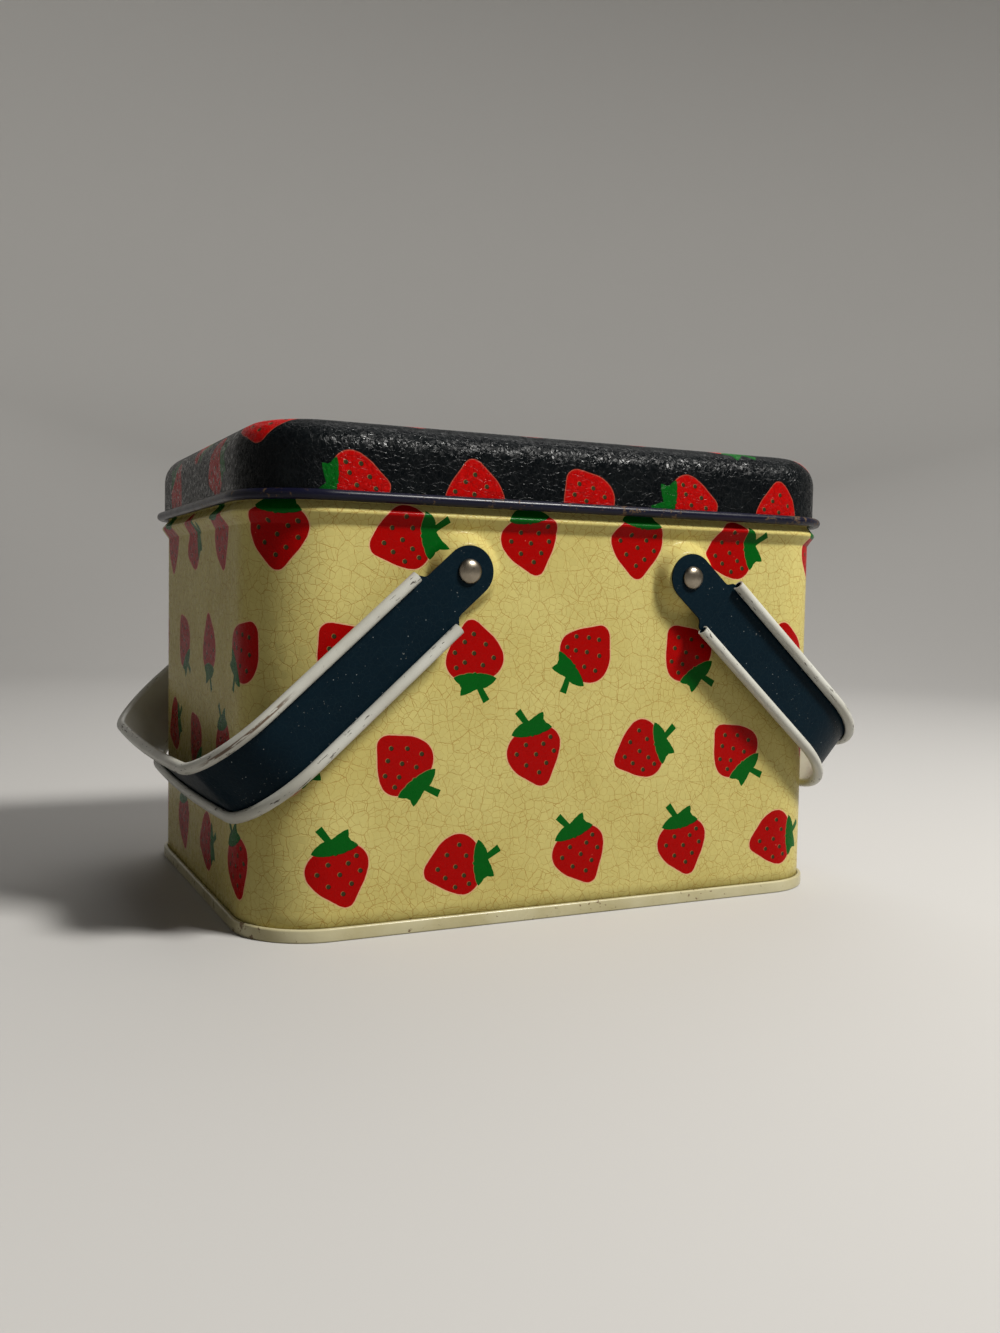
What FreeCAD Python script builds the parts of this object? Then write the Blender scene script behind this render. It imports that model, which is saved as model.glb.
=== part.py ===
import FreeCAD, Part
import math
import os

import Sketcher
from FreeCAD import Placement, Rotation, Vector

# A lift-lid tin box of printed sheet with two swinging strap handles.
# Origin at the middle of the rim it stands on, +X to the right, front at -Y, +Z up.

# Driving dimensions, in millimetres and degrees
SIZES = (
    # the wall: one sheet bent round to a rectangle with round corners
    ("body_length", 190.0),
    ("body_depth", 142.0),
    ("corner_radius", 21.0),
    ("wall_sheet", 0.4),
    ("side_seam_width", 6.0),
    ("side_seam_sheets", 2),
    # the bead that runs round below the lid, and the hem of the neck above it
    ("bead_peak_height", 115.2),
    ("bead_reach", 2.4),
    ("bead_below", 3.3),
    ("bead_above", 2.8),
    ("bead_round", 0.9),
    ("neck_hem", 3.0),
    # the bottom panel and the double seam that is also the foot
    ("seam_height", 3.7),
    ("seam_gap", 0.05),
    ("panel_height", 3.0),
    # the lid: a shallow drawn cover with a rolled lower edge
    ("lid_above_bead", 2.7),
    ("lid_depth", 22.1),
    ("lid_clearance", 1.0),
    ("lid_sheet", 0.4),
    ("lid_edge_radius", 9.0),
    ("lid_curl_diameter", 2.9),
    ("lid_curl_angle", 300.0),
    ("lid_seat_gap", 0.3),
    ("lid_panel_lap", 1.0),
    # the bosses pressed out of the wall, which hold the handles clear of the lid
    ("pivot_spacing", 73.6),
    ("boss_below_bead", 0.4),
    ("boss_top_radius", 7.6),
    ("boss_flank", 3.6),
    ("boss_lap", 0.3),
    # the handles: one strap each, both edges rolled outward
    ("handle_past_end", 29.8),
    ("handle_width", 22.0),
    ("handle_sheet", 0.5),
    ("handle_bend_radius", 21.4),
    ("handle_curl_diameter", 3.3),
    ("handle_curl_angle", 300.0),
    ("handle_lid_gap", 0.3),
    ("handle_rest_gap", 0.3),
    ("handle_play", 0.1),
    ("eye_radius", 7.2),
    ("eye_length", 13.0),
    ("eye_lap", 2.0),
    ("eye_fit", 0.05),
    # the rivets, with a shoulder for the handle to turn on, and their washers
    ("rivet_shank_diameter", 3.5),
    ("rivet_shoulder_step", 0.5),
    ("rivet_head_overhang", 1.25),
    ("rivet_head_height", 1.8),
    ("rivet_clinch_step", 0.95),
    ("rivet_clinch_height", 0.8),
    ("rivet_fit", 0.02),
    ("washer_width", 2.75),
    ("washer_thickness", 0.6),
)

LEFT, RIGHT = -1, 1
FRONT, BACK = -1, 1

doc = FreeCAD.newDocument("tin_box")
sheet = doc.addObject("Spreadsheet::Sheet", "Sizes")
for row, (alias, value) in enumerate(SIZES, start=1):
    sheet.set(f"A{row}", alias)
    sheet.set(f"B{row}", str(value))
    sheet.setAlias(f"B{row}", alias)
doc.recompute()

# Places that several pieces share, worked out from the driving dimensions
HALF_LENGTH = "Sizes.body_length / 2"
HALF_DEPTH = "Sizes.body_depth / 2"
CORNER = "Sizes.corner_radius"
WALL = "Sizes.wall_sheet"
GAP = "Sizes.seam_gap"
BEAD_BOTTOM = "Sizes.bead_peak_height - Sizes.bead_below"
BEAD_TOP = "Sizes.bead_peak_height + Sizes.bead_above"
LID_BOTTOM = "Sizes.bead_peak_height + Sizes.lid_above_bead"
LID_TOP = f"{LID_BOTTOM} + Sizes.lid_depth"
LID_INSIDE = "Sizes.lid_clearance"
LID_OUTSIDE = "Sizes.lid_clearance + Sizes.lid_sheet"
LID_INNER_EDGE = "(Sizes.lid_edge_radius - Sizes.lid_sheet)"
# the lid comes down until its round shoulder meets the rim of the neck
NECK_TOP = (
    f"{LID_TOP} - Sizes.lid_edge_radius - Sizes.lid_seat_gap"
    f" + sqrt({LID_INNER_EDGE}^2 - ({LID_INNER_EDGE} - Sizes.lid_clearance)^2)"
)
# the bosses sit close below the bead and hold the handles off the lid's rolled edge
BOSS_BASE = "Sizes.boss_top_radius + Sizes.boss_flank"
BOSS_HEIGHT = (
    "Sizes.lid_clearance + Sizes.lid_curl_diameter"
    " + Sizes.handle_lid_gap - Sizes.handle_play"
)
BOSS_FACE = f"{HALF_DEPTH} + {BOSS_HEIGHT}"
PIVOT_X = "Sizes.pivot_spacing / 2"
PIVOT_Z = f"{BEAD_BOTTOM} - Sizes.boss_below_bead - ({BOSS_BASE})"
HANDLE_INSIDE = f"{BOSS_FACE} + Sizes.handle_play"
HANDLE_REACH = f"{HALF_LENGTH} - {PIVOT_X} + Sizes.handle_past_end"
HANDLE_CURL = "Sizes.handle_curl_diameter / 2"
CURL_OUT = f"({HANDLE_REACH} + {HANDLE_CURL})"
CURL_ACROSS = f"(Sizes.handle_width / 2 - {HANDLE_CURL})"
# a handle hangs until its lower rolled edge meets the end wall
REST_ANGLE = (
    f"acos(({HALF_LENGTH} - {PIVOT_X} + Sizes.handle_rest_gap + {HANDLE_CURL})"
    f" / sqrt({CURL_OUT}^2 + {CURL_ACROSS}^2)) - atan({CURL_ACROSS} / {CURL_OUT})"
)
RIVET_SHANK = "Sizes.rivet_shank_diameter / 2"
RIVET_SHOULDER = f"{RIVET_SHANK} + Sizes.rivet_shoulder_step"

SIDES = {"right": 0, "top": 90, "left": 180, "bottom": 270}
FULL_TURN = 360


def number(expression):
    """The value that an expression has now."""
    value = sheet.evalExpression(expression)
    return float(getattr(value, "Value", value))


class Corner:
    """A sharp corner of an outline, at two expressions."""

    def __init__(self, across, along):
        self.at = (across, along)

    def point(self, _end):
        return Vector(number(self.at[0]), number(self.at[1]), 0)


class Arc:
    """A round stretch of an outline about a centre, turning left (1) or right (-1).

    Each end is a side of the circle, a rough angle where a line runs off at a tangent,
    a corner where a line meets it, or None where the span sets it.
    """

    def __init__(self, across, along, radius, start, finish, turn=1, span=None):
        self.at = (across, along)
        self.radius = radius
        self.ends = (start, finish)
        self.turn = turn
        self.span = span

    def angle(self, end):
        place = self.ends[end]
        if place is None:
            swing = number(self.span) * self.turn
            return self.angle(1 - end) + (swing if end else -swing)
        if isinstance(place, Corner):
            ray = place.point(end) - Vector(number(self.at[0]), number(self.at[1]), 0)
            return math.degrees(math.atan2(ray.y, ray.x))
        return SIDES.get(place, place)

    def point(self, end):
        turned = math.radians(self.angle(end))
        reach = number(self.radius)
        return Vector(
            number(self.at[0]) + reach * math.cos(turned),
            number(self.at[1]) + reach * math.sin(turned),
            0,
        )

    def shape(self):
        first, last = (self.angle(end) for end in (0, 1)[:: self.turn])
        while last <= first:
            last += FULL_TURN
        middle = Vector(number(self.at[0]), number(self.at[1]), 0)
        circle = Part.Circle(middle, Vector(0, 0, 1), number(self.radius))
        return Part.ArcOfCircle(circle, math.radians(first), math.radians(last))

    def vertex(self, end):
        """The arc's own vertex number at the outline's start or finish of it."""
        return (1, 2)[end] if self.turn == 1 else (2, 1)[end]


class Rules:
    """The rules of one sketch, each size in them held by an expression."""

    def __init__(self, sketch):
        self.sketch = sketch
        self.found = []

    def meet(self, kind, *what):
        self.found.append((Sketcher.Constraint(kind, *what), None))

    def size(self, kind, expression, *what):
        value = number(expression)
        if kind == "Angle":
            value = math.radians(value)
        self.found.append((Sketcher.Constraint(kind, *what, value), expression))

    def point(self, geometry, vertex, at):
        self.size("DistanceX", at[0], -1, 1, geometry, vertex)
        self.size("DistanceY", at[1], -1, 1, geometry, vertex)

    def apply(self):
        first = self.sketch.ConstraintCount
        self.sketch.addConstraint([rule for rule, _ in self.found])
        for index, (_, expression) in enumerate(self.found, start=first):
            if expression:
                self.sketch.renameConstraint(index, f"size_{index}")
                self.sketch.setExpression(f"Constraints.size_{index}", expression)


def draw(sketch, items, closed=True):
    """Draw an outline of corners and arcs, with straight lines between them."""
    rules = Rules(sketch)

    # an arc's own rules: centre, radius or span, and ends that lie on a side
    arcs = {}
    for index, item in enumerate(items):
        if not isinstance(item, Arc):
            continue
        arc = sketch.addGeometry(item.shape(), False)
        arcs[index] = arc
        rules.point(arc, 3, item.at)
        if item.span:
            rules.size("Angle", item.span, arc)
        if not isinstance(item.ends[0], Corner):
            rules.size("Radius", item.radius, arc)
        for end, place in enumerate(item.ends):
            if isinstance(place, Corner):
                rules.point(arc, item.vertex(end), place.at)
            elif place in SIDES:
                level = "Horizontal" if place in ("right", "left") else "Vertical"
                rules.meet(level, arc, 3, arc, item.vertex(end))

    # straight lines from each item to the next
    into, out_of = {}, {}
    last = len(items) if closed else len(items) - 1
    for index in range(last):
        following = (index + 1) % len(items)
        begin = items[index].point(1)
        finish = items[following].point(0)
        line = sketch.addGeometry(Part.LineSegment(begin, finish), False)
        out_of[index] = line
        into[following] = line

    # the lines meet at corners, or run into arcs and off them
    for index, item in enumerate(items):
        if isinstance(item, Corner):
            if index in into and index in out_of:
                rules.meet("Coincident", into[index], 2, out_of[index], 1)
            line, vertex = (out_of[index], 1) if index in out_of else (into[index], 2)
            rules.point(line, vertex, item.at)
            continue
        meetings = ((into[index], 2), (out_of[index], 1))
        for end, (line, vertex) in enumerate(meetings):
            at_tangent = isinstance(item.ends[end], (int, float))
            meeting = "Tangent" if at_tangent else "Coincident"
            rules.meet(meeting, line, vertex, arcs[index], item.vertex(end))
    rules.apply()


def draw_circle(sketch, across, along, radius):
    middle = Vector(number(across), number(along), 0)
    circle = Part.Circle(middle, Vector(0, 0, 1), number(radius))
    ring = sketch.addGeometry(circle, False)
    rules = Rules(sketch)
    rules.point(ring, 3, (across, along))
    rules.size("Radius", radius, ring)
    rules.apply()


def draw_axis(sketch, across, length):
    """A construction line along the sketch's upright direction, to turn a section about."""
    foot = Vector(number(across), 0, 0)
    tip = Vector(number(across), number(length), 0)
    line = sketch.addGeometry(Part.LineSegment(foot, tip), True)
    rules = Rules(sketch)
    rules.point(line, 1, (across, "0"))
    rules.point(line, 2, (across, length))
    rules.apply()


def rounded_rectangle(sketch, half_length, half_depth, radius):
    """A closed outline about the origin that starts in the middle of its right side."""
    across = f"{half_length} - ({radius})"
    along = f"{half_depth} - ({radius})"
    draw(
        sketch,
        [
            Corner(half_length, "0"),
            Arc(across, along, radius, "right", "top"),
            Arc(f"-({across})", along, radius, "top", "left"),
            Arc(f"-({across})", f"-({along})", radius, "left", "bottom"),
            Arc(across, f"-({along})", radius, "bottom", "right"),
        ],
    )


def new_body(label):
    body = doc.addObject("PartDesign::Body", label)
    body.Label = label
    return body


def new_sketch(body, name, role, offset=None):
    """A sketch on one of the body's own planes, moved off it by an expression."""
    sketch = body.newObject("Sketcher::SketchObject", f"{body.Name}_{name}")
    support = next(f for f in body.Origin.OriginFeatures if f.Role == role)
    sketch.AttachmentSupport = [(support, "")]
    sketch.MapMode = "FlatFace"
    if offset:
        sketch.setExpression("AttachmentOffset.Base.z", offset)
    return sketch


def pad(body, sketch, length, symmetric=False, kind="Pad"):
    feature = body.newObject(f"PartDesign::{kind}", f"{sketch.Name}_{kind}")
    feature.Profile = sketch
    feature.SideType = "Symmetric" if symmetric else "One side"
    feature.setExpression("Length", length)
    return feature


def pipe(body, profile, path):
    feature = body.newObject("PartDesign::AdditivePipe", f"{profile.Name}_pipe")
    feature.Profile = profile
    feature.Spine = path
    return feature


def revolve(body, sketch, axis):
    feature = body.newObject("PartDesign::Revolution", f"{sketch.Name}_turned")
    feature.Profile = sketch
    feature.ReferenceAxis = (sketch, [axis])
    feature.Angle = FULL_TURN
    return feature


def outline_path(body, name, outset):
    """The plan outline of the box, moved outward by an expression."""
    path = new_sketch(body, name, "XY_Plane")
    rounded_rectangle(
        path,
        f"{HALF_LENGTH} + {outset}",
        f"{HALF_DEPTH} + {outset}",
        f"{CORNER} + {outset}",
    )
    return path


def from_wall(outset, height):
    """A corner of a section at the right end, measured outward from the wall's face."""
    return Corner(f"{HALF_LENGTH} + {outset}", height)


def make_wall():
    """The wall: straight sheet, hooked below, with a bead, a neck, a hem and bosses."""
    body = new_body("body_wall")
    section = new_sketch(body, "section", "XZ_Plane")

    def bead(outset, turn):
        """The bead's rounded peak; the slopes run off it at a tangent."""
        lower_slope, upper_slope = -37, 40
        start, finish = (lower_slope, upper_slope)[::turn]
        across = f"{HALF_LENGTH} + {outset} + Sizes.bead_reach - Sizes.bead_round"
        peak = "Sizes.bead_peak_height"
        return Arc(across, peak, "Sizes.bead_round", start, finish, turn)

    hook_top = f"Sizes.seam_height - {WALL} - {GAP}"
    draw(
        section,
        [
            from_wall(f"-{WALL}", f"{WALL} + {GAP}"),
            from_wall(f"2 * {GAP} + 2 * {WALL}", f"{WALL} + {GAP}"),
            from_wall(f"2 * {GAP} + 2 * {WALL}", hook_top),
            from_wall(f"2 * {GAP} + {WALL}", hook_top),
            from_wall(f"2 * {GAP} + {WALL}", f"2 * {WALL} + {GAP}"),
            from_wall("0", f"2 * {WALL} + {GAP}"),
            from_wall("0", BEAD_BOTTOM),
            bead("0", 1),
            from_wall("0", BEAD_TOP),
            from_wall("0", NECK_TOP),
            from_wall(f"-2 * {WALL}", NECK_TOP),
            from_wall(f"-2 * {WALL}", f"{NECK_TOP} - Sizes.neck_hem"),
            from_wall(f"-{WALL}", f"{NECK_TOP} - Sizes.neck_hem"),
            from_wall(f"-{WALL}", BEAD_TOP),
            bead(f"-{WALL}", -1),
            from_wall(f"-{WALL}", BEAD_BOTTOM),
        ],
    )
    pipe(body, section, outline_path(body, "path", "0"))

    # the side seam, folded flat inside the middle of the back
    seam = new_sketch(body, "side_seam", "XY_Plane", "Sizes.seam_height")
    inside = f"{HALF_DEPTH} - {WALL} * (1 + Sizes.side_seam_sheets)"
    outside = f"{HALF_DEPTH} - {WALL} / 2"
    half_seam = "Sizes.side_seam_width / 2"
    draw(
        seam,
        [
            Corner(f"-{half_seam}", inside),
            Corner(half_seam, inside),
            Corner(half_seam, outside),
            Corner(f"-{half_seam}", outside),
        ],
    )
    pad(body, seam, f"{BEAD_BOTTOM} - Sizes.seam_height")

    for side in (LEFT, RIGHT):
        for face in (FRONT, BACK):
            add_boss(body, side, face)
    return body


def add_boss(body, side, face):
    """One round boss pressed outward, with the rivet's hole in its flat top."""
    name = f"boss_{'left' if side == LEFT else 'right'}_{'front' if face == FRONT else 'back'}"
    pivot = f"{side} * {PIVOT_X}"
    opening = new_sketch(body, f"{name}_opening", "XZ_Plane")
    draw_circle(opening, pivot, PIVOT_Z, BOSS_BASE)
    # the plane's normal points to the front, and a cut runs against it
    cut = pad(body, opening, BOSS_FACE, kind="Pocket")
    cut.Reversed = face == FRONT

    section = new_sketch(body, f"{name}_section", "XY_Plane", PIVOT_Z)
    hole = f"{RIVET_SHANK} + Sizes.rivet_fit"
    steps = (
        (hole, BOSS_HEIGHT),
        ("Sizes.boss_top_radius", BOSS_HEIGHT),
        (BOSS_BASE, "0"),
        (f"{BOSS_BASE} + Sizes.boss_lap", "0"),
        (f"{BOSS_BASE} + Sizes.boss_lap", f"-{WALL}"),
        (BOSS_BASE, f"-{WALL}"),
        ("Sizes.boss_top_radius", f"{BOSS_HEIGHT} - {WALL}"),
        (hole, f"{BOSS_HEIGHT} - {WALL}"),
    )
    draw(
        section,
        [
            Corner(f"{pivot} + {radius}", f"{face} * ({HALF_DEPTH} + {rise})")
            for radius, rise in steps
        ],
    )
    draw_axis(section, pivot, HALF_DEPTH)
    revolve(body, section, "Axis0")


def make_bottom():
    """The bottom: a recessed panel whose edge folds round the wall's hook."""
    body = new_body("bottom_panel")
    section = new_sketch(body, "section", "XZ_Plane")
    inner = f"-2 * {WALL} - {GAP}"
    outer = f"3 * {GAP} + 3 * {WALL}"
    fold = f"2 * {WALL} + 2 * {GAP}"
    ledge = f"Sizes.panel_height + {WALL}"
    draw(
        section,
        [
            from_wall(inner, "0"),
            from_wall(outer, "0"),
            from_wall(outer, "Sizes.seam_height"),
            from_wall(GAP, "Sizes.seam_height"),
            from_wall(GAP, fold),
            from_wall(f"{GAP} + {WALL}", fold),
            from_wall(f"{GAP} + {WALL}", f"Sizes.seam_height - {WALL}"),
            from_wall(f"{outer} - {WALL}", f"Sizes.seam_height - {WALL}"),
            from_wall(f"{outer} - {WALL}", WALL),
            from_wall(f"-{WALL} - {GAP}", WALL),
            from_wall(f"-{WALL} - {GAP}", ledge),
            from_wall(inner, ledge),
        ],
    )
    pipe(body, section, outline_path(body, "path", "0"))
    panel = new_sketch(body, "panel", "XY_Plane", "Sizes.panel_height")
    inset = f"({WALL} + {GAP})"
    rounded_rectangle(
        panel,
        f"{HALF_LENGTH} - {inset}",
        f"{HALF_DEPTH} - {inset}",
        f"{CORNER} - {inset}",
    )
    pad(body, panel, WALL)
    return body


def make_lid():
    """The lid: flat top, round shoulder, straight skirt and a rolled lower edge."""
    body = new_body("lid")
    section = new_sketch(body, "section", "XZ_Plane")
    skin = "Sizes.lid_sheet"
    curl = "Sizes.lid_curl_diameter / 2"
    curl_x = f"{HALF_LENGTH} + {LID_INSIDE} + {curl}"
    curl_z = f"{LID_BOTTOM} + {curl}"
    span = "Sizes.lid_curl_angle"
    shoulder_x = f"{HALF_LENGTH} + {LID_OUTSIDE} - Sizes.lid_edge_radius"
    shoulder_z = f"{LID_TOP} - Sizes.lid_edge_radius"
    panel_edge = f"{shoulder_x} - Sizes.lid_panel_lap"
    draw(
        section,
        [
            Arc(curl_x, curl_z, curl, "left", None, 1, span),
            Arc(curl_x, curl_z, f"{curl} - {skin}", None, "left", -1, span),
            Arc(shoulder_x, shoulder_z, "Sizes.lid_edge_radius", "right", "top"),
            Corner(panel_edge, LID_TOP),
            Corner(panel_edge, f"{LID_TOP} - {skin}"),
            Arc(shoulder_x, shoulder_z, LID_INNER_EDGE, "top", "right", -1),
        ],
    )
    pipe(body, section, outline_path(body, "path", LID_OUTSIDE))
    panel = new_sketch(body, "panel", "XY_Plane", f"{LID_TOP} - {skin}")
    inset = f"({LID_OUTSIDE} - Sizes.lid_edge_radius)"
    rounded_rectangle(
        panel,
        f"{HALF_LENGTH} + {inset}",
        f"{HALF_DEPTH} + {inset}",
        f"{CORNER} + {inset}",
    )
    pad(body, panel, skin)
    return body


def make_handle(label, side):
    """A handle: a strap bent to a U, its edges rolled outward, with an eye at each end.

    It is drawn about its pivot line with its arms along +X and then turned to where it hangs.
    """
    body = new_body(label)
    skin = "Sizes.handle_sheet"
    eye = new_sketch(body, "eye", "XZ_Plane")
    eye_end = "Sizes.eye_length + Sizes.eye_lap"
    draw(
        eye,
        [
            Arc("0", "0", "Sizes.eye_radius", "top", "bottom"),
            Corner(eye_end, "-Sizes.eye_radius"),
            Corner(eye_end, "Sizes.eye_radius"),
        ],
    )
    pad(body, eye, f"2 * ({HANDLE_INSIDE} + {skin})", symmetric=True)
    # only the sheets of the two eyes are left of that block
    between = new_sketch(body, "between", "XZ_Plane")
    beyond = "2 * Sizes.eye_radius"
    draw(
        between,
        [
            Corner(f"-{beyond}", f"-{beyond}"),
            Corner(f"{eye_end} + {beyond}", f"-{beyond}"),
            Corner(f"{eye_end} + {beyond}", beyond),
            Corner(f"-{beyond}", beyond),
        ],
    )
    pad(body, between, f"2 * ({HANDLE_INSIDE})", symmetric=True, kind="Pocket")

    section = new_sketch(body, "section", "YZ_Plane", "Sizes.eye_length")
    centre = f"{HANDLE_INSIDE} + {HANDLE_CURL}"
    inner_curl = f"{HANDLE_CURL} - {skin}"
    lower = f"-{CURL_ACROSS}"
    span = "Sizes.handle_curl_angle"
    draw(
        section,
        [
            Arc(centre, CURL_ACROSS, HANDLE_CURL, "left", None, -1, span),
            Arc(centre, CURL_ACROSS, inner_curl, None, "left", 1, span),
            Arc(centre, lower, inner_curl, "left", None, 1, span),
            Arc(centre, lower, HANDLE_CURL, None, "left", -1, span),
        ],
    )
    path = new_sketch(body, "path", "XY_Plane")
    bend = "Sizes.handle_bend_radius"
    bend_x = f"{HANDLE_REACH} - {bend}"
    bend_y = f"{HANDLE_INSIDE} - {bend}"
    draw(
        path,
        [
            Corner("Sizes.eye_length", HANDLE_INSIDE),
            Arc(bend_x, bend_y, bend, "top", "right", -1),
            Arc(bend_x, f"-({bend_y})", bend, "right", "bottom", -1),
            Corner("Sizes.eye_length", f"-({HANDLE_INSIDE})"),
        ],
        closed=False,
    )
    pipe(body, section, path)

    hole = new_sketch(body, "hole", "XZ_Plane")
    draw_circle(hole, "0", "0", f"{RIVET_SHOULDER} + Sizes.eye_fit")
    pad(body, hole, f"4 * ({HANDLE_INSIDE})", symmetric=True, kind="Pocket")

    turn = REST_ANGLE if side == RIGHT else f"180 deg - ({REST_ANGLE})"
    body.Placement = Placement(Vector(), Rotation(Vector(0, 1, 0), number(turn)))
    body.setExpression("Placement.Base.x", f"{side} * {PIVOT_X}")
    body.setExpression("Placement.Base.z", PIVOT_Z)
    body.setExpression("Placement.Rotation.Angle", turn)
    return body


def seat_on_boss(body, side, face):
    """Put a turned piece on a boss, its axis +Z pointing out of the wall."""
    outward = Vector(0, face, 0)
    body.Placement = Placement(Vector(), Rotation(Vector(0, 0, 1), outward))
    body.setExpression("Placement.Base.x", f"{side} * {PIVOT_X}")
    body.setExpression("Placement.Base.y", f"{face} * ({BOSS_FACE})")
    body.setExpression("Placement.Base.z", PIVOT_Z)


def make_rivet(label, side, face):
    """A rivet: domed head, shoulder for the handle, shank through the boss, clinched end."""
    body = new_body(label)
    section = new_sketch(body, "section", "XZ_Plane")
    head = f"{RIVET_SHOULDER} + Sizes.rivet_head_overhang"
    clinch = f"{RIVET_SHANK} + Sizes.rivet_clinch_step"
    grip = "Sizes.handle_sheet + 2 * Sizes.handle_play"
    below = f"-({WALL} + Sizes.washer_thickness)"
    rise = "Sizes.rivet_head_height"
    # the dome is the part of a ball that has the head's width and height
    ball = f"(({head})^2 + {rise}^2) / (2 * {rise})"
    ball_z = f"{grip} + {rise} - {ball}"
    draw(
        section,
        [
            Corner("0", f"{below} - Sizes.rivet_clinch_height"),
            Corner(clinch, f"{below} - Sizes.rivet_clinch_height"),
            Corner(clinch, below),
            Corner(RIVET_SHANK, below),
            Corner(RIVET_SHANK, "0"),
            Corner(RIVET_SHOULDER, "0"),
            Corner(RIVET_SHOULDER, grip),
            Arc("0", ball_z, ball, Corner(head, grip), "top"),
        ],
    )
    revolve(body, section, "V_Axis")
    seat_on_boss(body, side, face)
    return body


def make_washer(label, side, face):
    """The washer that the rivet's end is clinched over, inside the boss."""
    body = new_body(label)
    section = new_sketch(body, "section", "XZ_Plane")
    bore = f"{RIVET_SHANK} + Sizes.rivet_fit"
    rim = f"{RIVET_SHANK} + Sizes.washer_width"
    top = f"-{WALL}"
    bottom = f"-({WALL} + Sizes.washer_thickness)"
    draw(
        section,
        [Corner(bore, bottom), Corner(rim, bottom), Corner(rim, top), Corner(bore, top)],
    )
    revolve(body, section, "V_Axis")
    seat_on_boss(body, side, face)
    return body


def check(pieces):
    """Stop before anything is written if a feature or a piece has failed."""
    for item in doc.Objects:
        if "Invalid" in item.State or "Error" in item.State:
            raise RuntimeError(f"{item.Label} failed: {item.State}")
    for piece in pieces:
        shape = piece.Shape
        if shape.isNull() or not shape.isValid() or len(shape.Solids) != 1:
            raise RuntimeError(f"{piece.Label} is not one sound solid")


pieces = [
    make_wall(),
    make_bottom(),
    make_lid(),
    make_handle("handle_left", LEFT),
    make_handle("handle_right", RIGHT),
]
for face, face_name in ((FRONT, "front"), (BACK, "back")):
    for side, side_name in ((LEFT, "left"), (RIGHT, "right")):
        place = f"{face_name}_{side_name}"
        pieces.append(make_rivet(f"rivet_{place}", side, face))
        pieces.append(make_washer(f"rivet_washer_{place}", side, face))
doc.recompute()
check(pieces)

os.makedirs("parts", exist_ok=True)
for piece in pieces:
    piece.Shape.exportStep(f"parts/{piece.Label}.step")
    box = piece.Shape.BoundBox
    print(
        f"{piece.Label}: {piece.Shape.Volume:.1f} mm3,"
        f" {box.XMin:.2f}..{box.XMax:.2f}, {box.YMin:.2f}..{box.YMax:.2f},"
        f" {box.ZMin:.2f}..{box.ZMax:.2f}"
    )
print(f"handles hang {number(REST_ANGLE):.2f} degrees below level")
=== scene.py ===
from math import atan2, cos, pi, radians, sin, tan

import bmesh
import bpy
import numpy as np
from mathutils import Matrix, Vector


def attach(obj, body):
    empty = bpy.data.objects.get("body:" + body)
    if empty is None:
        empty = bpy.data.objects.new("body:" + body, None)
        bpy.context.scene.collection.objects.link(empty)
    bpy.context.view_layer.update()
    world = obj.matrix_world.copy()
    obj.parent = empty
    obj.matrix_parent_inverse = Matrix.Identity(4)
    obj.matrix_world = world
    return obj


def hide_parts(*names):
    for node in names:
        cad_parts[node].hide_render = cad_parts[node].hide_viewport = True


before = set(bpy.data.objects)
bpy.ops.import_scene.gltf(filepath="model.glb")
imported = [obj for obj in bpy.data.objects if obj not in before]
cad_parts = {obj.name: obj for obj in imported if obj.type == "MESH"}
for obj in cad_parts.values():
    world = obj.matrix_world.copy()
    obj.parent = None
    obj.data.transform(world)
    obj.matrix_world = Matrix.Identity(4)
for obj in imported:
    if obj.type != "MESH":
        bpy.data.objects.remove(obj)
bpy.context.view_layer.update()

# The wall. One sheet of printed tinplate, bent round a rectangle with round corners and
# seamed inside the back. A bead near its top carries the lid, the neck above it is hemmed,
# and four round bosses are pressed out of it to hold the handles clear. Sizes are in mm.
MM = 0.001
wall_length, wall_depth, corner_radius = 190, 142, 21
wall_sheet = 0.4
neck_top, bead_top, bead_peak, bead_bottom = 134.72, 118.0, 115.2, 111.9
bead_reach, bead_round = 2.4, 0.9
hem_height, hem_edge = 3.0, 0.3
wall_foot = 1.0
boss_x, boss_z, boss_height = 36.8, 100.3, 4.1
boss_flat, boss_base, boss_span, press_margin = 7.3, 11.4, 13, 1
seam_width, seam_margin, seam_lap, seam_round, seam_foot = 6.0, 1.6, 0.02, 0.35, 3.7
flat_step, corner_step, end_step, fine_step, row_step = 4, 2, 5, 0.8, 6
merge_distance = 0.02 * MM
flat_x = wall_length / 2 - corner_radius
flat_y = wall_depth / 2 - corner_radius
quarter_turn = corner_radius * pi / 2
half_round = 2 * (flat_x + flat_y + quarter_turn)


def outline_place(u, out=0.0):
    """The place u mm round from the middle of the front, out mm outside the wall's outline."""
    side, along, radius = (1 if u >= 0 else -1), abs(u), corner_radius + out
    if along <= flat_x:
        return side * along, -flat_y - radius
    along -= flat_x
    if along <= quarter_turn:
        turn = along / corner_radius
        return side * (flat_x + radius * sin(turn)), -flat_y - radius * cos(turn)
    along -= quarter_turn
    if along <= 2 * flat_y:
        return side * (flat_x + radius), along - flat_y
    along -= 2 * flat_y
    if along <= quarter_turn:
        turn = along / corner_radius
        return side * (flat_x + radius * cos(turn)), flat_y + radius * sin(turn)
    return side * (flat_x - along + quarter_turn), flat_y + radius


def steps(start, stop, step):
    """Even steps from start up to stop, without stop itself."""
    return list(np.linspace(start, stop, max(1, round(abs(stop - start) / step)), endpoint=False))


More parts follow.
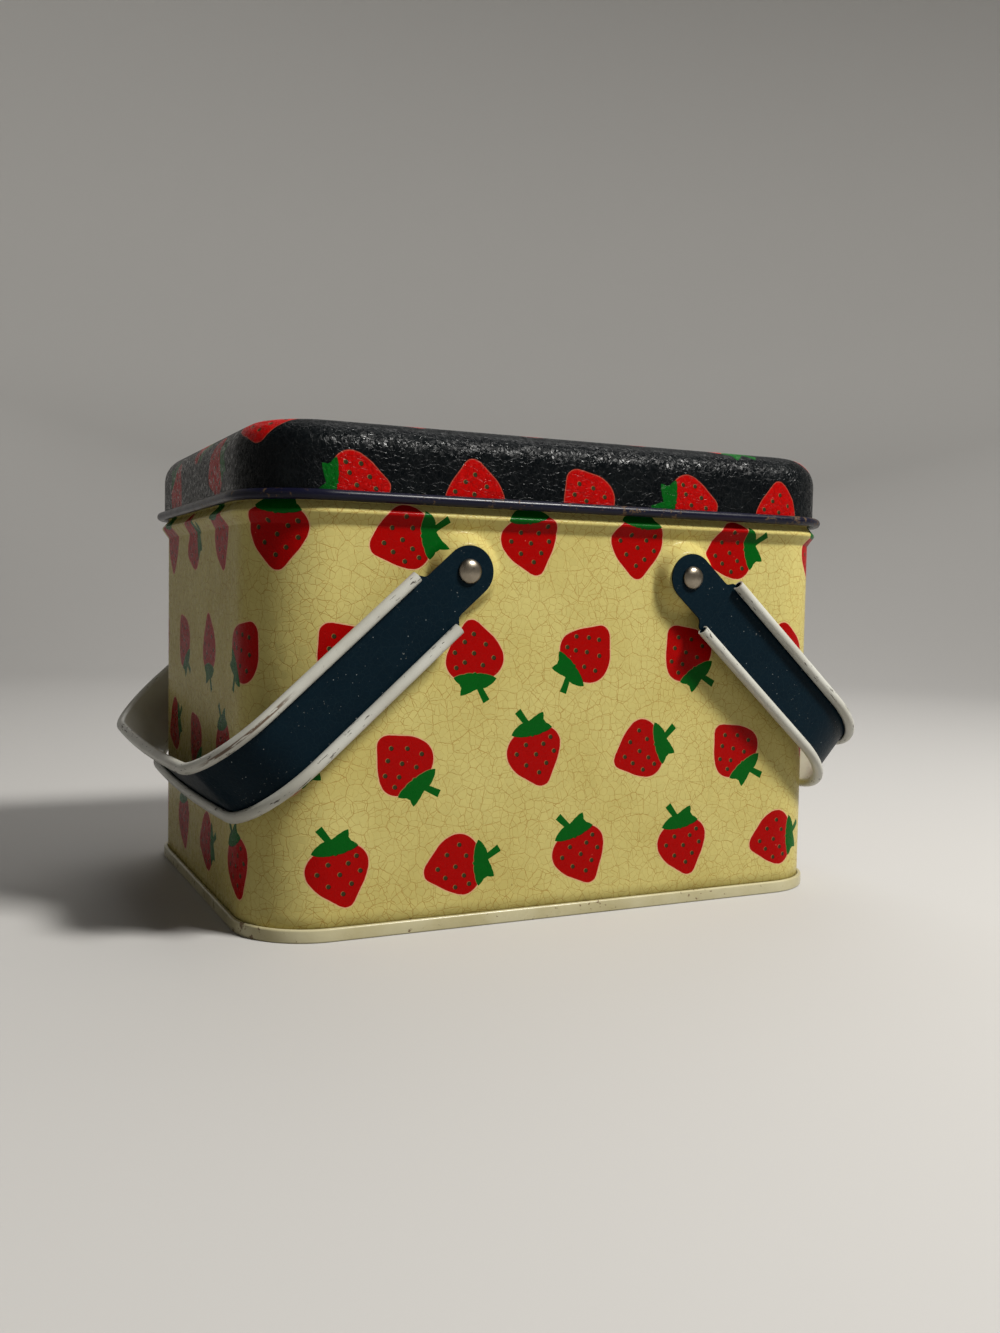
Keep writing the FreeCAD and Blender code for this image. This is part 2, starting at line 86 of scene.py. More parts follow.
def outline_round(boss_step, out=0.0):
    """Places round the whole outline from the back's middle, boss_step apart over the bosses."""
    near, far = boss_x - boss_span, boss_x + boss_span
    side_start, side_end = flat_x + quarter_turn, half_round - flat_x - quarter_turn
    half = steps(0, near, flat_step) + steps(near, far, boss_step) + steps(far, flat_x, flat_step)
    half += steps(flat_x, side_start, corner_step) + steps(side_start, side_end, end_step)
    half += steps(side_end, half_round - flat_x, corner_step)
    half += steps(half_round - flat_x, half_round - far, flat_step)
    half += steps(half_round - far, half_round - near, boss_step)
    half += steps(half_round - near, half_round, flat_step) + [half_round]
    return [outline_place(u, out) for u in [-u for u in half[:0:-1]] + half]


def rounded(*corners, arc_steps=6):
    """A line through corners of (x, y, radius), each rounded to its radius."""
    line = []
    for i, (x, y, radius) in enumerate(corners):
        here = Vector((x, y))
        if not radius:
            line.append(here)
            continue
        back = (Vector(corners[i - 1][:2]) - here).normalized()
        on = (Vector(corners[(i + 1) % len(corners)][:2]) - here).normalized()
        half = back.angle(on) / 2
        centre = here + (back + on).normalized() * (radius / sin(half))
        first = here + back * (radius / tan(half)) - centre
        last = here + on * (radius / tan(half)) - centre
        sweep = pi - 2 * half
        for k in range(arc_steps + 1):
            share = k / arc_steps
            turned = first * sin((1 - share) * sweep) + last * sin(share * sweep)
            line.append(centre + turned / sin(sweep))
    return [tuple(p) for p in line]


def new_object(name, data):
    """An object made of data, put in the scene."""
    thing = bpy.data.objects.new(name, data)
    bpy.context.scene.collection.objects.link(thing)
    return thing


def line_object(name, points, closed=False):
    """A curve of straight pieces through points given in mm."""
    curve = bpy.data.curves.new(name, "CURVE")
    curve.dimensions = "3D"
    spline = curve.splines.new("POLY")
    spline.points.add(len(points) - 1)
    for place, point in zip(spline.points, points):
        x, y, z = (*point, 0)[:3]
        place.co = (x * MM, y * MM, z * MM, 1)
    spline.use_cyclic_u = closed
    return new_object(name, curve)


def section_object(name, points, closed):
    """The section of a sheet, from points of (distance out, height), for sweeping round a line."""
    return line_object(name, [(out, -height) for out, height in points], closed)


class Wire:
    """A number or a vector in a node tree. A formula written with it becomes Math nodes.
    Its id_data is its tree, as it is for a socket, a node or the tree itself."""

    def __init__(self, socket):
        self.socket = socket
        self.id_data = socket.id_data

    def math(self, operation, *others):
        inputs = dict(enumerate((self, *others)))
        return Wire(add_node(self, "ShaderNodeMath", inputs, operation=operation).outputs[0])

    def __add__(self, other):
        return self.math("ADD", other)

    def __sub__(self, other):
        return self.math("SUBTRACT", other)

    def __mul__(self, other):
        return self.math("MULTIPLY", other)

    def __truediv__(self, other):
        return self.math("DIVIDE", other)

    def over(self, limit):
        return self.math("GREATER_THAN", limit)

    def under(self, limit):
        return self.math("LESS_THAN", limit)

    def smaller(self, other):
        return self.math("MINIMUM", other)

    def larger(self, other):
        return self.math("MAXIMUM", other)

    def size(self):
        return self.math("ABSOLUTE")

    def eased(self, low, high):
        """0 up to low, 1 from high on, and a smooth step between."""
        inputs = {"Value": self, "From Min": low, "From Max": high}
        node = add_node(self, "ShaderNodeMapRange", inputs, interpolation_type="SMOOTHSTEP")
        return Wire(node.outputs["Result"])


def plug(value, socket):
    """Links a wire or a socket to a socket, or sets it to a plain value."""
    if isinstance(value, Wire):
        value = value.socket
    if isinstance(value, bpy.types.NodeSocket):
        socket.id_data.links.new(value, socket)
    else:
        socket.default_value = value


def add_node(near, kind, inputs=None, **settings):
    """A new node in the tree that near is in, with its settings, and its inputs linked or set
    by name or number."""
    node = near.id_data.nodes.new(kind)
    for name, value in settings.items():
        setattr(node, name, value)
    for name, value in (inputs or {}).items():
        plug(value, node.inputs[name])
    return node


def apart(vector):
    """The three numbers of a vector."""
    node = add_node(vector, "ShaderNodeSeparateXYZ", {0: vector})
    return [Wire(socket) for socket in node.outputs]


def together(x, y, z=0.0):
    """A vector of three numbers."""
    return add_node(y, "ShaderNodeCombineXYZ", {0: x, 1: y, 2: z}).outputs[0]


def new_tree(name, kind, inputs, outputs):
    """A node tree, the wires of its inputs by name, and the sockets of its outputs.
    The names of both are given by their type, with spaces between."""
    tree = bpy.data.node_groups.new(name, kind + "NodeTree")
    for way, sockets in (("INPUT", inputs), ("OUTPUT", outputs)):
        for socket, labels in sockets.items():
            for label in labels.split():
                tree.interface.new_socket(label, in_out=way, socket_type="NodeSocket" + socket)
    given = {socket.name: Wire(socket) for socket in tree.nodes.new("NodeGroupInput").outputs}
    result = tree.nodes.new("NodeGroupOutput").inputs
    return tree, given, result


def made_by(tree, line, name, **values):
    """The plain mesh that a geometry tree makes of a line, with these values for its inputs.
    The line and the objects among the values are used up."""
    modifier = line.modifiers.new(tree.name, "NODES")
    modifier.node_group = tree
    for item in tree.interface.items_tree:
        if item.in_out == "INPUT" and item.name in values:
            modifier[item.identifier] = values[item.name]
    graph = bpy.context.evaluated_depsgraph_get()
    mesh = bpy.data.meshes.new_from_object(line.evaluated_get(graph))
    line.modifiers.remove(modifier)
    for value in (line, *values.values()):
        if isinstance(value, bpy.types.Object):
            bpy.data.objects.remove(value)
    mesh.name = name
    return mesh


def new_piece(name, mesh, body, slot, *nodes):
    """A finished piece that rides on a body and stands for CAD nodes. The slot is not used."""
    piece = new_object(name, mesh)
    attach(piece, body)
    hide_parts(*nodes)


def new_material(name, **finish):
    """A material and its shader, with the shader's even values set."""
    material = bpy.data.materials.new(name)
    material.use_nodes = True
    shader = material.node_tree.nodes["Principled BSDF"]
    for label, value in finish.items():
        shader.inputs[label.replace("_", " ")].default_value = value
    return material, shader


def mixed(share, low, high):
    """A colour that goes from low to high with share."""
    node = add_node(share, "ShaderNodeMix", {0: share, 6: low, 7: high}, data_type="RGBA")
    return node.outputs[2]


def noise(place, scale, detail=2.0, roughness=0.5):
    """A soft noise from 0 to 1."""
    inputs = {"Vector": place, "Scale": scale, "Detail": detail, "Roughness": roughness}
    return Wire(add_node(place, "ShaderNodeTexNoise", inputs).outputs["Fac"])


def grouped(group, **inputs):
    """Places a node group with its inputs, and returns its outputs by name."""
    node = add_node(inputs["place"], "ShaderNodeGroup", inputs, node_tree=group)
    return {socket.name: Wire(socket) for socket in node.outputs}


def painted(shader, colour, roughness):
    """Gives a shader its colour and its roughness."""
    plug(colour, shader.inputs["Base Color"])
    plug(roughness, shader.inputs["Roughness"])


def bumped(shader, height, strength, distance):
    """Gives a shader the relief of a height."""
    inputs = {"Height": height, "Strength": strength, "Distance": distance}
    plug(add_node(shader, "ShaderNodeBump", inputs).outputs[0], shader.inputs["Normal"])


def sheet_place(shader):
    """Where a point is on the printed sheet, in mm, as a vector."""
    return add_node(shader, "ShaderNodeUVMap", uv_map="Sheet").outputs[0]


def vector_math(operation, *values):
    """The vector that a Vector Math node makes of its inputs, in their order."""
    inputs = dict(enumerate(values))
    return add_node(values[0], "ShaderNodeVectorMath", inputs, operation=operation).outputs[0]


# Varnish that has aged cracks into small cells with thin lines between them, and each of the
# small cells lies a little aslant.
crack_wander, wander_scale, small_cell = (1.6, 1.6, 0.0), 0.35, 0.43
crackle, given, result = new_tree(
    "crackle", "Shader", {"Vector": "place", "Float": "cell width"}, {"Float": "lines cells flakes"}
)
wander_inputs = {"Vector": given["place"], "Scale": wander_scale, "Detail": 3.0}
wander = add_node(crackle, "ShaderNodeTexNoise", wander_inputs).outputs["Color"]
moved = vector_math("MULTIPLY_ADD", wander, crack_wander, given["place"])
per_cell = given["cell"].math("POWER", -1.0)
line_width = given["width"] * per_cell


def cell_edges(share):
    """How far a place is from the edge of its cell, for cells of a share of the whole size."""
    node = add_node(
        crackle,
        "ShaderNodeTexVoronoi",
        {"Vector": moved, "Scale": per_cell / share},
        feature="DISTANCE_TO_EDGE",
        voronoi_dimensions="2D",
    )
    return Wire(node.outputs["Distance"]) * share


thinning = noise(given["place"], 0.5, 1.0).eased(0.2, 0.6)
patches = noise(given["place"], 0.08, 2.0).eased(0.3, 0.6)
long_cracks = cell_edges(1.0).eased(line_width, 0.0) * (thinning * 0.5 + 0.5)
short_cracks = cell_edges(small_cell).eased(line_width, 0.0) * (patches * 0.55 + 0.38) * thinning
plug(long_cracks.larger(short_cracks), result["lines"])
cell_inputs = {"Vector": moved, "Scale": per_cell / small_cell}
cells = add_node(crackle, "ShaderNodeTexVoronoi", cell_inputs, voronoi_dimensions="2D").outputs
shades = apart(cells["Color"])
plug(shades[0], result["cells"])
cell_x, cell_y = apart(vector_math("SUBTRACT", moved, cells["Position"]))[:2]
plug(cell_x * (shades[1] - 0.5) + cell_y * (shades[2] - 0.5), result["flakes"])

# Scattered small dots, such as dust, pits, paint flecks and painted glints. Only some of the cells have one.
flecks, given, result = new_tree(
    "flecks", "Shader", {"Vector": "place", "Float": "spacing size share"}, {"Float": "dots"}
)
dots = add_node(
    flecks,
    "ShaderNodeTexVoronoi",
    {"Vector": given["place"], "Scale": given["spacing"].math("POWER", -1.0)},
)
chosen = apart(dots.outputs["Color"])
reach = given["size"] * chosen[1]
in_dot = Wire(dots.outputs["Distance"]).eased(reach, reach * 0.4)
plug(in_dot * chosen[0].under(given["share"]), result["dots"])

# Paint that is rubbed or knocked off in small ragged patches, more of it in some places.
chips, given, result = new_tree(
    "chips", "Shader", {"Vector": "place", "Float": "size limit"}, {"Float": "bare"}
)
per_chip = given["size"].math("POWER", -1.0)
chip_spread, chip_edge = 9, 0.03
ragged = noise(given["place"], per_chip, 4.0, 0.6) * 0.7
ragged = ragged + noise(given["place"], per_chip / chip_spread, 1.0) * 0.3
limit = given["limit"]
plug(ragged.eased(limit, limit + chip_edge), result["bare"])


def polar_curve(angle, points, largest, sharp=False):
    """A radius in mm that follows points of (degrees, mm) as the angle in radians goes round."""
    node = add_node(angle, "ShaderNodeFloatCurve", {"Value": angle / (2 * pi) + 0.5})
    curve = node.mapping.curves[0]
    while len(curve.points) < len(points):
        curve.points.new(0.5, 0.5)
    for point, (degrees, radius) in zip(curve.points, points):
        point.location = degrees / 360 + 0.5, radius / largest
        point.handle_type = "VECTOR" if sharp else "AUTO"
    node.mapping.update()
    return Wire(node.outputs[0]) * largest


# The green ink of one strawberry: its cap of leaves with a short stalk, and its seeds.
# Places are in mm from the berry's middle, with the stalk upwards.
leaf_points = (
    *((-180, 6.7), (-163, 4.5), (-150, 3.3), (-132, 2.6), (-113, 2.05), (-97, 2.4), (-76, 2.15)),
    *((-55, 2.8), (-33, 3.8), (-12, 6.7), (6, 4.9), (21, 4.7), (38, 6.1), (55, 4.1), (75, 2.9)),
    *((95, 2.5), (115, 2.9), (135, 3.4), (158, 4.7), (180, 6.7)),
)
seed_places = (
    *((-5.9, 2.3), (-2.4, 4.1), (3.1, 2.8), (5.8, 4.1), (0.1, 0.5), (5.9, -0.2), (-3.7, -1.7)),
    *((2.7, -2.9), (-0.2, -4.9)),
)
leaf_middle, stalk_foot, stalk_way = (0.4, 8.2), (-0.5, 9.6), (-0.42, 0.91)
stalk_length, stalk_root, stalk_width, stalk_flare = 5.3, 1.0, 0.85, 0.05
seed_radius, leaf_largest = 0.63, 8
greenery, given, result = new_tree(
    "strawberry_green", "Shader", {"Vector": "place"}, {"Float": "leaf seeds"}
)
x, y = apart(given["place"])[:2]
leaf_x, leaf_y = x - leaf_middle[0], y - leaf_middle[1]
leaf_radius = polar_curve(leaf_y.math("ARCTAN2", leaf_x), leaf_points, leaf_largest, sharp=True)
from_middle = (leaf_x * leaf_x + leaf_y * leaf_y).math("SQRT")
stalk_x, stalk_y = x - stalk_foot[0], y - stalk_foot[1]
along = stalk_x * stalk_way[0] + stalk_y * stalk_way[1]
across = (stalk_x * stalk_way[1] - stalk_y * stalk_way[0]).size()
stalk = along.over(-stalk_root) * along.under(stalk_length)
stalk = stalk * across.under(along * stalk_flare + stalk_width)
plug(from_middle.under(leaf_radius).larger(stalk), result["leaf"])
nearest = None
for seed_x, seed_y in seed_places:
    away = add_node(
        greenery,
        "ShaderNodeVectorMath",
        {0: given["place"], 1: (seed_x, seed_y, 0.0)},
        operation="DISTANCE",
    )
    away = Wire(away.outputs["Value"])
    nearest = nearest.smaller(away) if nearest else away
plug(nearest.under(seed_radius), result["seeds"])

# One strawberry in red and green ink. The red leaves room for the green, which is printed a
# little to one side, so that a pale and a dark line show along the leaves and the seeds.
plump_points = (
    *((-180, 8.3), (-150, 9.3), (-120, 9.85), (-106, 9.4), (-80, 7.7), (-60, 7.0), (-42, 6.8)),
    *((-25, 7.25), (-12, 8.1), (5, 8.85), (15, 8.4), (28, 7.5), (45, 7.0), (62, 7.2), (80, 7.8)),
    *((95, 8.7), (118, 9.6), (136, 9.55), (155, 9.0), (180, 8.3)),
)
leaning_points = (
    *((-180, 8.3), (-150, 8.9), (-126, 9.2), (-106, 9.3), (-88, 9.1), (-66, 8.5), (-42, 7.9)),
    *((-22, 8.4), (-6, 9.2), (8, 9.2), (22, 8.2), (38, 7.1), (56, 6.7), (76, 6.95), (95, 7.9)),
    *((112, 9.0), (130, 9.3), (150, 8.9), (165, 8.5), (180, 8.3)),
)
green_slip = (0.14, -0.09, 0.0)
outline_width, berry_largest = 0.3, 12
strawberry, given, result = new_tree(
    "strawberry",
    "Shader",
    {"Vector": "place", "Float": "turn lean"},
    {"Float": "red outline room leaf seeds"},
)


def upright(place):
    """The place as it is on a strawberry that stands upright."""
    turn = {"Vector": place, "Angle": given["turn"]}
    return add_node(strawberry, "ShaderNodeVectorRotate", turn, rotation_type="Z_AXIS").outputs[0]


slipped = vector_math("SUBTRACT", given["place"], green_slip)
berry_place = upright(given["place"])
x, y = apart(berry_place)[:2]
around = x.math("ARCTAN2", y * -1.0)
plump = polar_curve(around, plump_points, berry_largest)
leaning = polar_curve(around, leaning_points, berry_largest)
inside = plump + (leaning - plump) * given["lean"] - (x * x + y * y).math("SQRT")
room = grouped(greenery, place=berry_place)
green = grouped(greenery, place=upright(slipped))
left_out = room["leaf"].larger(room["seeds"])
plug(inside.over(0.0) * (left_out * -1.0 + 1.0), result["red"])
plug(inside.over(0.0) * left_out, result["room"])
plug(inside.under(0.0) * inside.over(-outline_width), result["outline"])
plug(green["leaf"], result["leaf"])
plug(green["seeds"] * inside.over(0.0), result["seeds"])


shift_span = 20.0


def tossed_print(place, column, row, first, motifs):
    """Strawberries in a brick layout. Motifs are rows of (turn in degrees, shift in mm, lean)."""
    u, v = apart(place)[:2]
    row_number = ((v - first[1]) / row + 0.5).math("FLOOR")
    half_step = row_number.math("FLOORED_MODULO", 2.0) * (column / 2)
    column_place = (u - first[0] - half_step) / column + 0.5
    column_number = column_place.math("FLOOR")
    row_motifs = len(motifs[0])
    kind = row_number.math("FLOORED_MODULO", float(len(motifs))) * row_motifs
    kind = kind + column_number.math("FLOORED_MODULO", float(row_motifs))
    count = len(motifs) * row_motifs
    table = add_node(kind, "ShaderNodeValToRGB", {0: (kind + 0.5) / count})
    table.color_ramp.interpolation = "CONSTANT"
    while len(table.color_ramp.elements) < count:
        table.color_ramp.elements.new(0.5)
    flat = [motif for line in motifs for motif in line]
    for i in range(count):
        table.color_ramp.elements[i].position = i / count
    for i, (turn, shift, lean) in enumerate(flat):
        table.color_ramp.elements[i].color = (turn / 360 + 0.5, shift / shift_span + 0.5, lean, 1)
    chosen = add_node(table, "ShaderNodeSeparateColor", {0: table.outputs[0]}).outputs
    turn, shift, lean = [Wire(socket) for socket in chosen]
    from_u = u - first[0] - half_step - column_number * column - (shift - 0.5) * shift_span
    from_v = v - first[1] - row_number * row
    motif_place = together(from_u, from_v)
    return grouped(strawberry, place=motif_place, turn=(turn - 0.5) * (2 * pi), lean=lean)


def inked(colour, inks, outline, red):
    """The ground's colour with a strawberry's inks over it, dark where green lies on red."""
    paints = {"outline": outline, "room": ink_room, "red": red, "seeds": ink_seed, "leaf": ink_leaf}
    for ink, paint in paints.items():
        colour = mixed(inks[ink], colour, paint)
    return mixed(inks["red"] * inks["leaf"].larger(inks["seeds"]), colour, ink_dark)


cream, cream_aged = (0.54, 0.472, 0.17, 1), (0.475, 0.40, 0.13, 1)
crackle_brown = (0.30, 0.155, 0.026, 1)
ink_red, ink_outline = (0.31, 0.0015, 0.0012, 1), (0.60, 0.34, 0.19, 1)
ink_leaf, ink_room = (0.001, 0.082, 0.0062, 1), (0.21, 0.14, 0.05, 1)
ink_seed, ink_dark = (0.034, 0.03, 0.012, 1), (0.006, 0.005, 0.0015, 1)
# The pale pink of the dots on the red print is partly dust and partly painted glints.
pale_dust_and_glint, knocked_brown, seam_brown = (0.6, 0.12, 0.09, 1), (0.12, 0.06, 0.02, 1), (0.07, 0.05, 0.025, 1)
wall_column, wall_row, wall_first = 36.47, 30.35, (-71.7, 17.4)
seam_line_out, seam_line_in = 0.35, 0.1
wall_motifs = (
    ((-14, 0.0, 0.1), (83, -3.0, 0.6), (-23, 1.6, 0.2), (-14, 1.4, 0.3), (83, -0.8, 0.4), (-23, 1.6, 0.2)),
    ((140, -1.0, 0.4), (-15, 4.2, 0.5), (70, 2.4, 0.0), (140, 0.8, 0.1), (-15, 3.8, 0.6), (84, 0.3, 0.3)),
    ((145, 0.3, 0.3), (175, 2.2, 0.2), (-135, 2.5, 0.6), (145, 0.3, 0.3), (175, 2.2, 0.4), (-135, 5.5, 0.6)),
    ((76, -2.0, 0.5), (-14, 1.2, 0.2), (1, 0.3, 0.2), (76, -3.0, 0.3), (-14, 1.2, 0.4), (1, 0.3, 0.2)),
)
printed_wall, shader = new_material(
    "printed_wall", Specular_IOR_Level=0.04, Coat_Weight=0.03, Coat_Roughness=0.1
)
place = sheet_place(shader)
cracks = grouped(crackle, place=place, cell=4.9, width=0.135)
inks = tossed_print(place, wall_column, wall_row, wall_first, wall_motifs)
from_seam = apart(place)[0].size() * -1.0 + half_round
printed = from_seam.over(seam_margin)
inks = {ink: share * printed for ink, share in inks.items()}
seam_line = from_seam.eased(seam_line_out, seam_line_in)
ground = mixed(noise(place, 0.035, 4.0).eased(0.3, 0.75), cream, cream_aged)
ground = mixed(noise(place, 0.9, 4.0).eased(0.3, 0.8) * 0.3, ground, cream_aged)
ground = mixed(cracks["lines"] * 0.8, ground, crackle_brown)
colour = inked(ground, inks, ink_outline, ink_red)
# Pale dots on the red print: partly dust, partly painted glints of the crackled varnish.
dust_and_glints = grouped(flecks, place=place, spacing=2.2, size=0.14, share=0.16)["dots"]
colour = mixed(dust_and_glints * inks["red"] * 0.7, colour, pale_dust_and_glint)
marks = grouped(chips, place=place, size=2.4, limit=0.7)["bare"]
colour = mixed(marks * 0.8, colour, knocked_brown)
colour = mixed(seam_line * 0.85, colour, seam_brown)
painted(shader, colour, cracks["lines"] * 0.2 + noise(place, 0.3, 3.0) * 0.16 + 0.2)
relief = noise(place, 0.5, 3.0) * 0.4 - cracks["lines"] * 0.5 + cracks["flakes"] * 0.8 - seam_line
bumped(shader, relief, 0.3, 0.0002)


def metal_finish(name, metallic, bright, dull, mottle, polish):
    """A metal mottled from bright to dull. Mottle is a noise's scale and detail, and polish is
    a noise's scale with the roughness that it adds and the least roughness."""
    material, shader = new_material(name, Metallic=metallic)
    place = add_node(shader, "ShaderNodeTexCoord").outputs["Object"]
    scale, added, least = polish
    colour = mixed(noise(place, *mottle), bright, dull)
    painted(shader, colour, noise(place, scale, 3.0) * added + least)
    return material


gold, gold_dull = (0.60, 0.50, 0.27, 1), (0.48, 0.38, 0.18, 1)
wall_lacquer = metal_finish("wall_lacquer", 0.4, gold, gold_dull, (30.0, 4.0), (120.0, 0.2, 0.28))

pressed_sheet, given, result = new_tree(
    "pressed_sheet",
    "Geometry",
    {
        "Geometry": "outline",
        "Object": "section",
        "Float": "print_length boss_x boss_z boss_height boss_flat boss_base",
        "Material": "inside print",
    },
    {"Geometry": "sheet"},
)


def form_of(thing):
    """The geometry of an object that a tree is given."""
    return add_node(thing, "GeometryNodeObjectInfo", {"Object": thing}).outputs["Geometry"]


def spot(tree):
    """Where a point of the geometry is, as a vector."""
    return add_node(tree, "GeometryNodeInputPosition").outputs[0]


def kept_field(curve, field, kind):
    """Keeps a field's value on the points of a curve, for use once it is swept to a mesh."""
    node = add_node(curve, "GeometryNodeCaptureAttribute", {"Geometry": curve}, domain="POINT")
    node.capture_items.new(kind, "kept")
    plug(field, node.inputs[1])
    return node.outputs[0], Wire(node.outputs[1])


def levelled(outline):
    """An outline whose normals lie level."""
    return add_node(outline, "GeometryNodeSetCurveNormal", {"Curve": outline}, mode="Z_UP").outputs[0]


def swept(outline, section, caps=False):
    """A mesh of a section swept along an outline that lies level, closed at its ends or not."""
    inputs = {"Curve": levelled(outline), "Profile Curve": section, "Fill Caps": caps}
    return add_node(outline, "GeometryNodeCurveToMesh", inputs).outputs[0]


def stored_map(geometry, place):
    """Stores a place on the flat sheet as the UV map Sheet."""
    inputs = {"Geometry": geometry, "Name": "Sheet", "Value": place}
    kind = {"data_type": "FLOAT2", "domain": "CORNER"}
    return add_node(geometry, "GeometryNodeStoreNamedAttribute", inputs, **kind).outputs[0]


def closed_up(geometry):
    """Joins the ends that meet, smooths the shading and makes everything real."""
    merge_inputs = {"Geometry": geometry, "Distance": merge_distance}
    merged = add_node(geometry, "GeometryNodeMergeByDistance", merge_inputs).outputs[0]
    smooth = add_node(merged, "GeometryNodeSetShadeSmooth", {"Geometry": merged}).outputs[0]
    return add_node(smooth, "GeometryNodeRealizeInstances", {"Geometry": smooth}).outputs[0]


def coated(geometry, material, selection=True):
    """Gives the faces in the selection a material."""
    inputs = {"Geometry": geometry, "Material": material, "Selection": selection}
    return add_node(geometry, "GeometryNodeSetMaterial", inputs).outputs[0]


lengths = add_node(pressed_sheet, "GeometryNodeSplineParameter").outputs["Length"]
outline, u = kept_field(given["outline"], lengths, "FLOAT")
section, v = kept_field(form_of(given["section"]), lengths, "FLOAT")
sheet = swept(outline, section)
x, y, z = apart(spot(pressed_sheet))
from_boss_x, from_boss_z = x.size() - given["boss_x"], z - given["boss_z"]
from_boss = (from_boss_x * from_boss_x + from_boss_z * from_boss_z).math("SQRT")
rise = from_boss.eased(given["boss_base"], given["boss_flat"]) * given["boss_height"]
on_face = y.size().over((wall_depth / 2 - press_margin) * MM)
lift = together(0.0, rise * on_face * y.math("SIGN"))
sheet = add_node(pressed_sheet, "GeometryNodeSetPosition", {"Geometry": sheet, "Offset": lift}).outputs[0]
flat_place = together(u / MM - half_round, z / MM)
sheet = closed_up(stored_map(sheet, flat_place))
sheet = coated(sheet, given["inside"])
printed = v.under(given["print_length"])
plug(coated(sheet, given["print"], printed), result["sheet"])

top_row, plain_row = bead_bottom - 1.2, boss_z - 12.5
boss_rows = steps(top_row, plain_row, fine_step) + steps(plain_row, wall_foot, row_step)
inner = -wall_sheet
outside_line = rounded(
    (inner, neck_top, 0),
    (0, neck_top, hem_edge),
    (0, bead_top, bead_round),
    (bead_reach, bead_peak, bead_round),
    (0, bead_bottom, bead_round),
    *((0, row, 0) for row in boss_rows),
    (0, wall_foot, 0),
)
inside_line = rounded(
    (inner, wall_foot, 0),
    *((inner, row, 0) for row in reversed(boss_rows)),
    (inner, bead_bottom, bead_round),
    (bead_reach + inner, bead_peak, bead_round),
    (inner, bead_top, bead_round),
    (inner, neck_top - hem_height, 0),
    (2 * inner, neck_top - hem_height, 0),
    (2 * inner, neck_top, hem_edge),
    (inner, neck_top, 0),
)


def line_length(points):
    """The length of a line through points."""
    return sum((Vector(b) - Vector(a)).length for a, b in zip(points, points[1:]))


wall_mesh = made_by(
    pressed_sheet,
    line_object("wall_outline", outline_round(fine_step)),
    "body_wall",
    section=section_object("wall_section", outside_line + inside_line[:-1], True),
    print_length=line_length(outside_line) * MM,
    boss_x=boss_x * MM,
    boss_z=boss_z * MM,
    boss_height=boss_height * MM,
    boss_flat=boss_flat * MM,
    boss_base=boss_base * MM,
    inside=wall_lacquer,
    print=printed_wall,
)


def plate(outline, low, high, map_shift=(0, 0), hole=()):
    """A flat plate between two heights, from outlines in mm, with its Sheet map from above."""
    form = bmesh.new()
    edges = []
    for line in (outline, hole):
        ring = [form.verts.new((x * MM, y * MM, low * MM)) for x, y in line]
        edges += [form.edges.new(ends) for ends in zip(ring, ring[1:] + ring[:1])]
    bmesh.ops.triangle_fill(form, edges=edges, use_beauty=True)
    raised = {v: form.verts.new((v.co.x, v.co.y, high * MM)) for v in list(form.verts)}
    for face in list(form.faces):
        form.faces.new([raised[v] for v in face.verts])
    for a, b in [edge.verts for edge in edges]:
        form.faces.new((a, b, raised[b], raised[a]))
    bmesh.ops.recalc_face_normals(form, faces=form.faces)
    sheet_layer = form.loops.layers.uv.new("Sheet")
    for face in form.faces:
        for loop in face.loops:
            loop[sheet_layer].uv = loop.vert.co.xy / MM + Vector(map_shift)
    mesh = bpy.data.meshes.new("plate")
    form.to_mesh(mesh)
    form.free()
    return mesh


def joined(name, meshes):
    """One mesh of several, with their materials kept."""
    materials = []
    form = bmesh.new()
    for mesh in meshes:
        start = len(form.faces)
        form.from_mesh(mesh)
        form.faces.ensure_lookup_table()
        slots = list(mesh.materials)
        for face in form.faces[start:]:
            material = slots[face.material_index]
            if material not in materials:
                materials.append(material)
            face.material_index = materials.index(material)
    whole = bpy.data.meshes.new(name)
    form.to_mesh(whole)
    form.free()
    for material in materials:
        whole.materials.append(material)
    return whole


half_seam = seam_width / 2
seam_outside = wall_depth / 2 + inner + seam_lap
seam_inside = wall_depth / 2 + 3 * inner
seam_outline = rounded(
    (-half_seam, seam_outside, 0),
    (-half_seam, seam_inside, seam_round),
    (half_seam, seam_inside, seam_round),
    (half_seam, seam_outside, 0),
)
seam_fold = plate(seam_outline, seam_foot, bead_bottom)
seam_fold.materials.append(wall_lacquer)
wall_mesh = joined("body_wall", [wall_mesh, seam_fold])


def corner_values(mesh, layer):
    """A UV map's values, face by face, as lists of (u, v)."""
    return [[layer.data[i].uv.copy() for i in face.loop_indices] for face in mesh.polygons]


def lay_out(mesh, place_of):
    """Lays the mesh out for baking: place_of gives each face's corners a place on the map."""
    sheet_values = corner_values(mesh, mesh.uv_layers["Sheet"])
    layer = mesh.uv_layers.new(name="OFBake")
    for face, values in zip(mesh.polygons, sheet_values):
        for i, place in zip(face.loop_indices, place_of(face, values)):
            layer.data[i].uv = place


map_scale, map_margin, strip_gap = 0.98 / half_round, 0.003, 2
front_row, back_row, inside_row = 0.005, 0.435, 0.87
inside_scale = (0.49 / half_round, 0.12 / neck_top)
strip_edge = flat_x + quarter_turn / 2
print_slot = wall_mesh.materials.find(printed_wall.name)


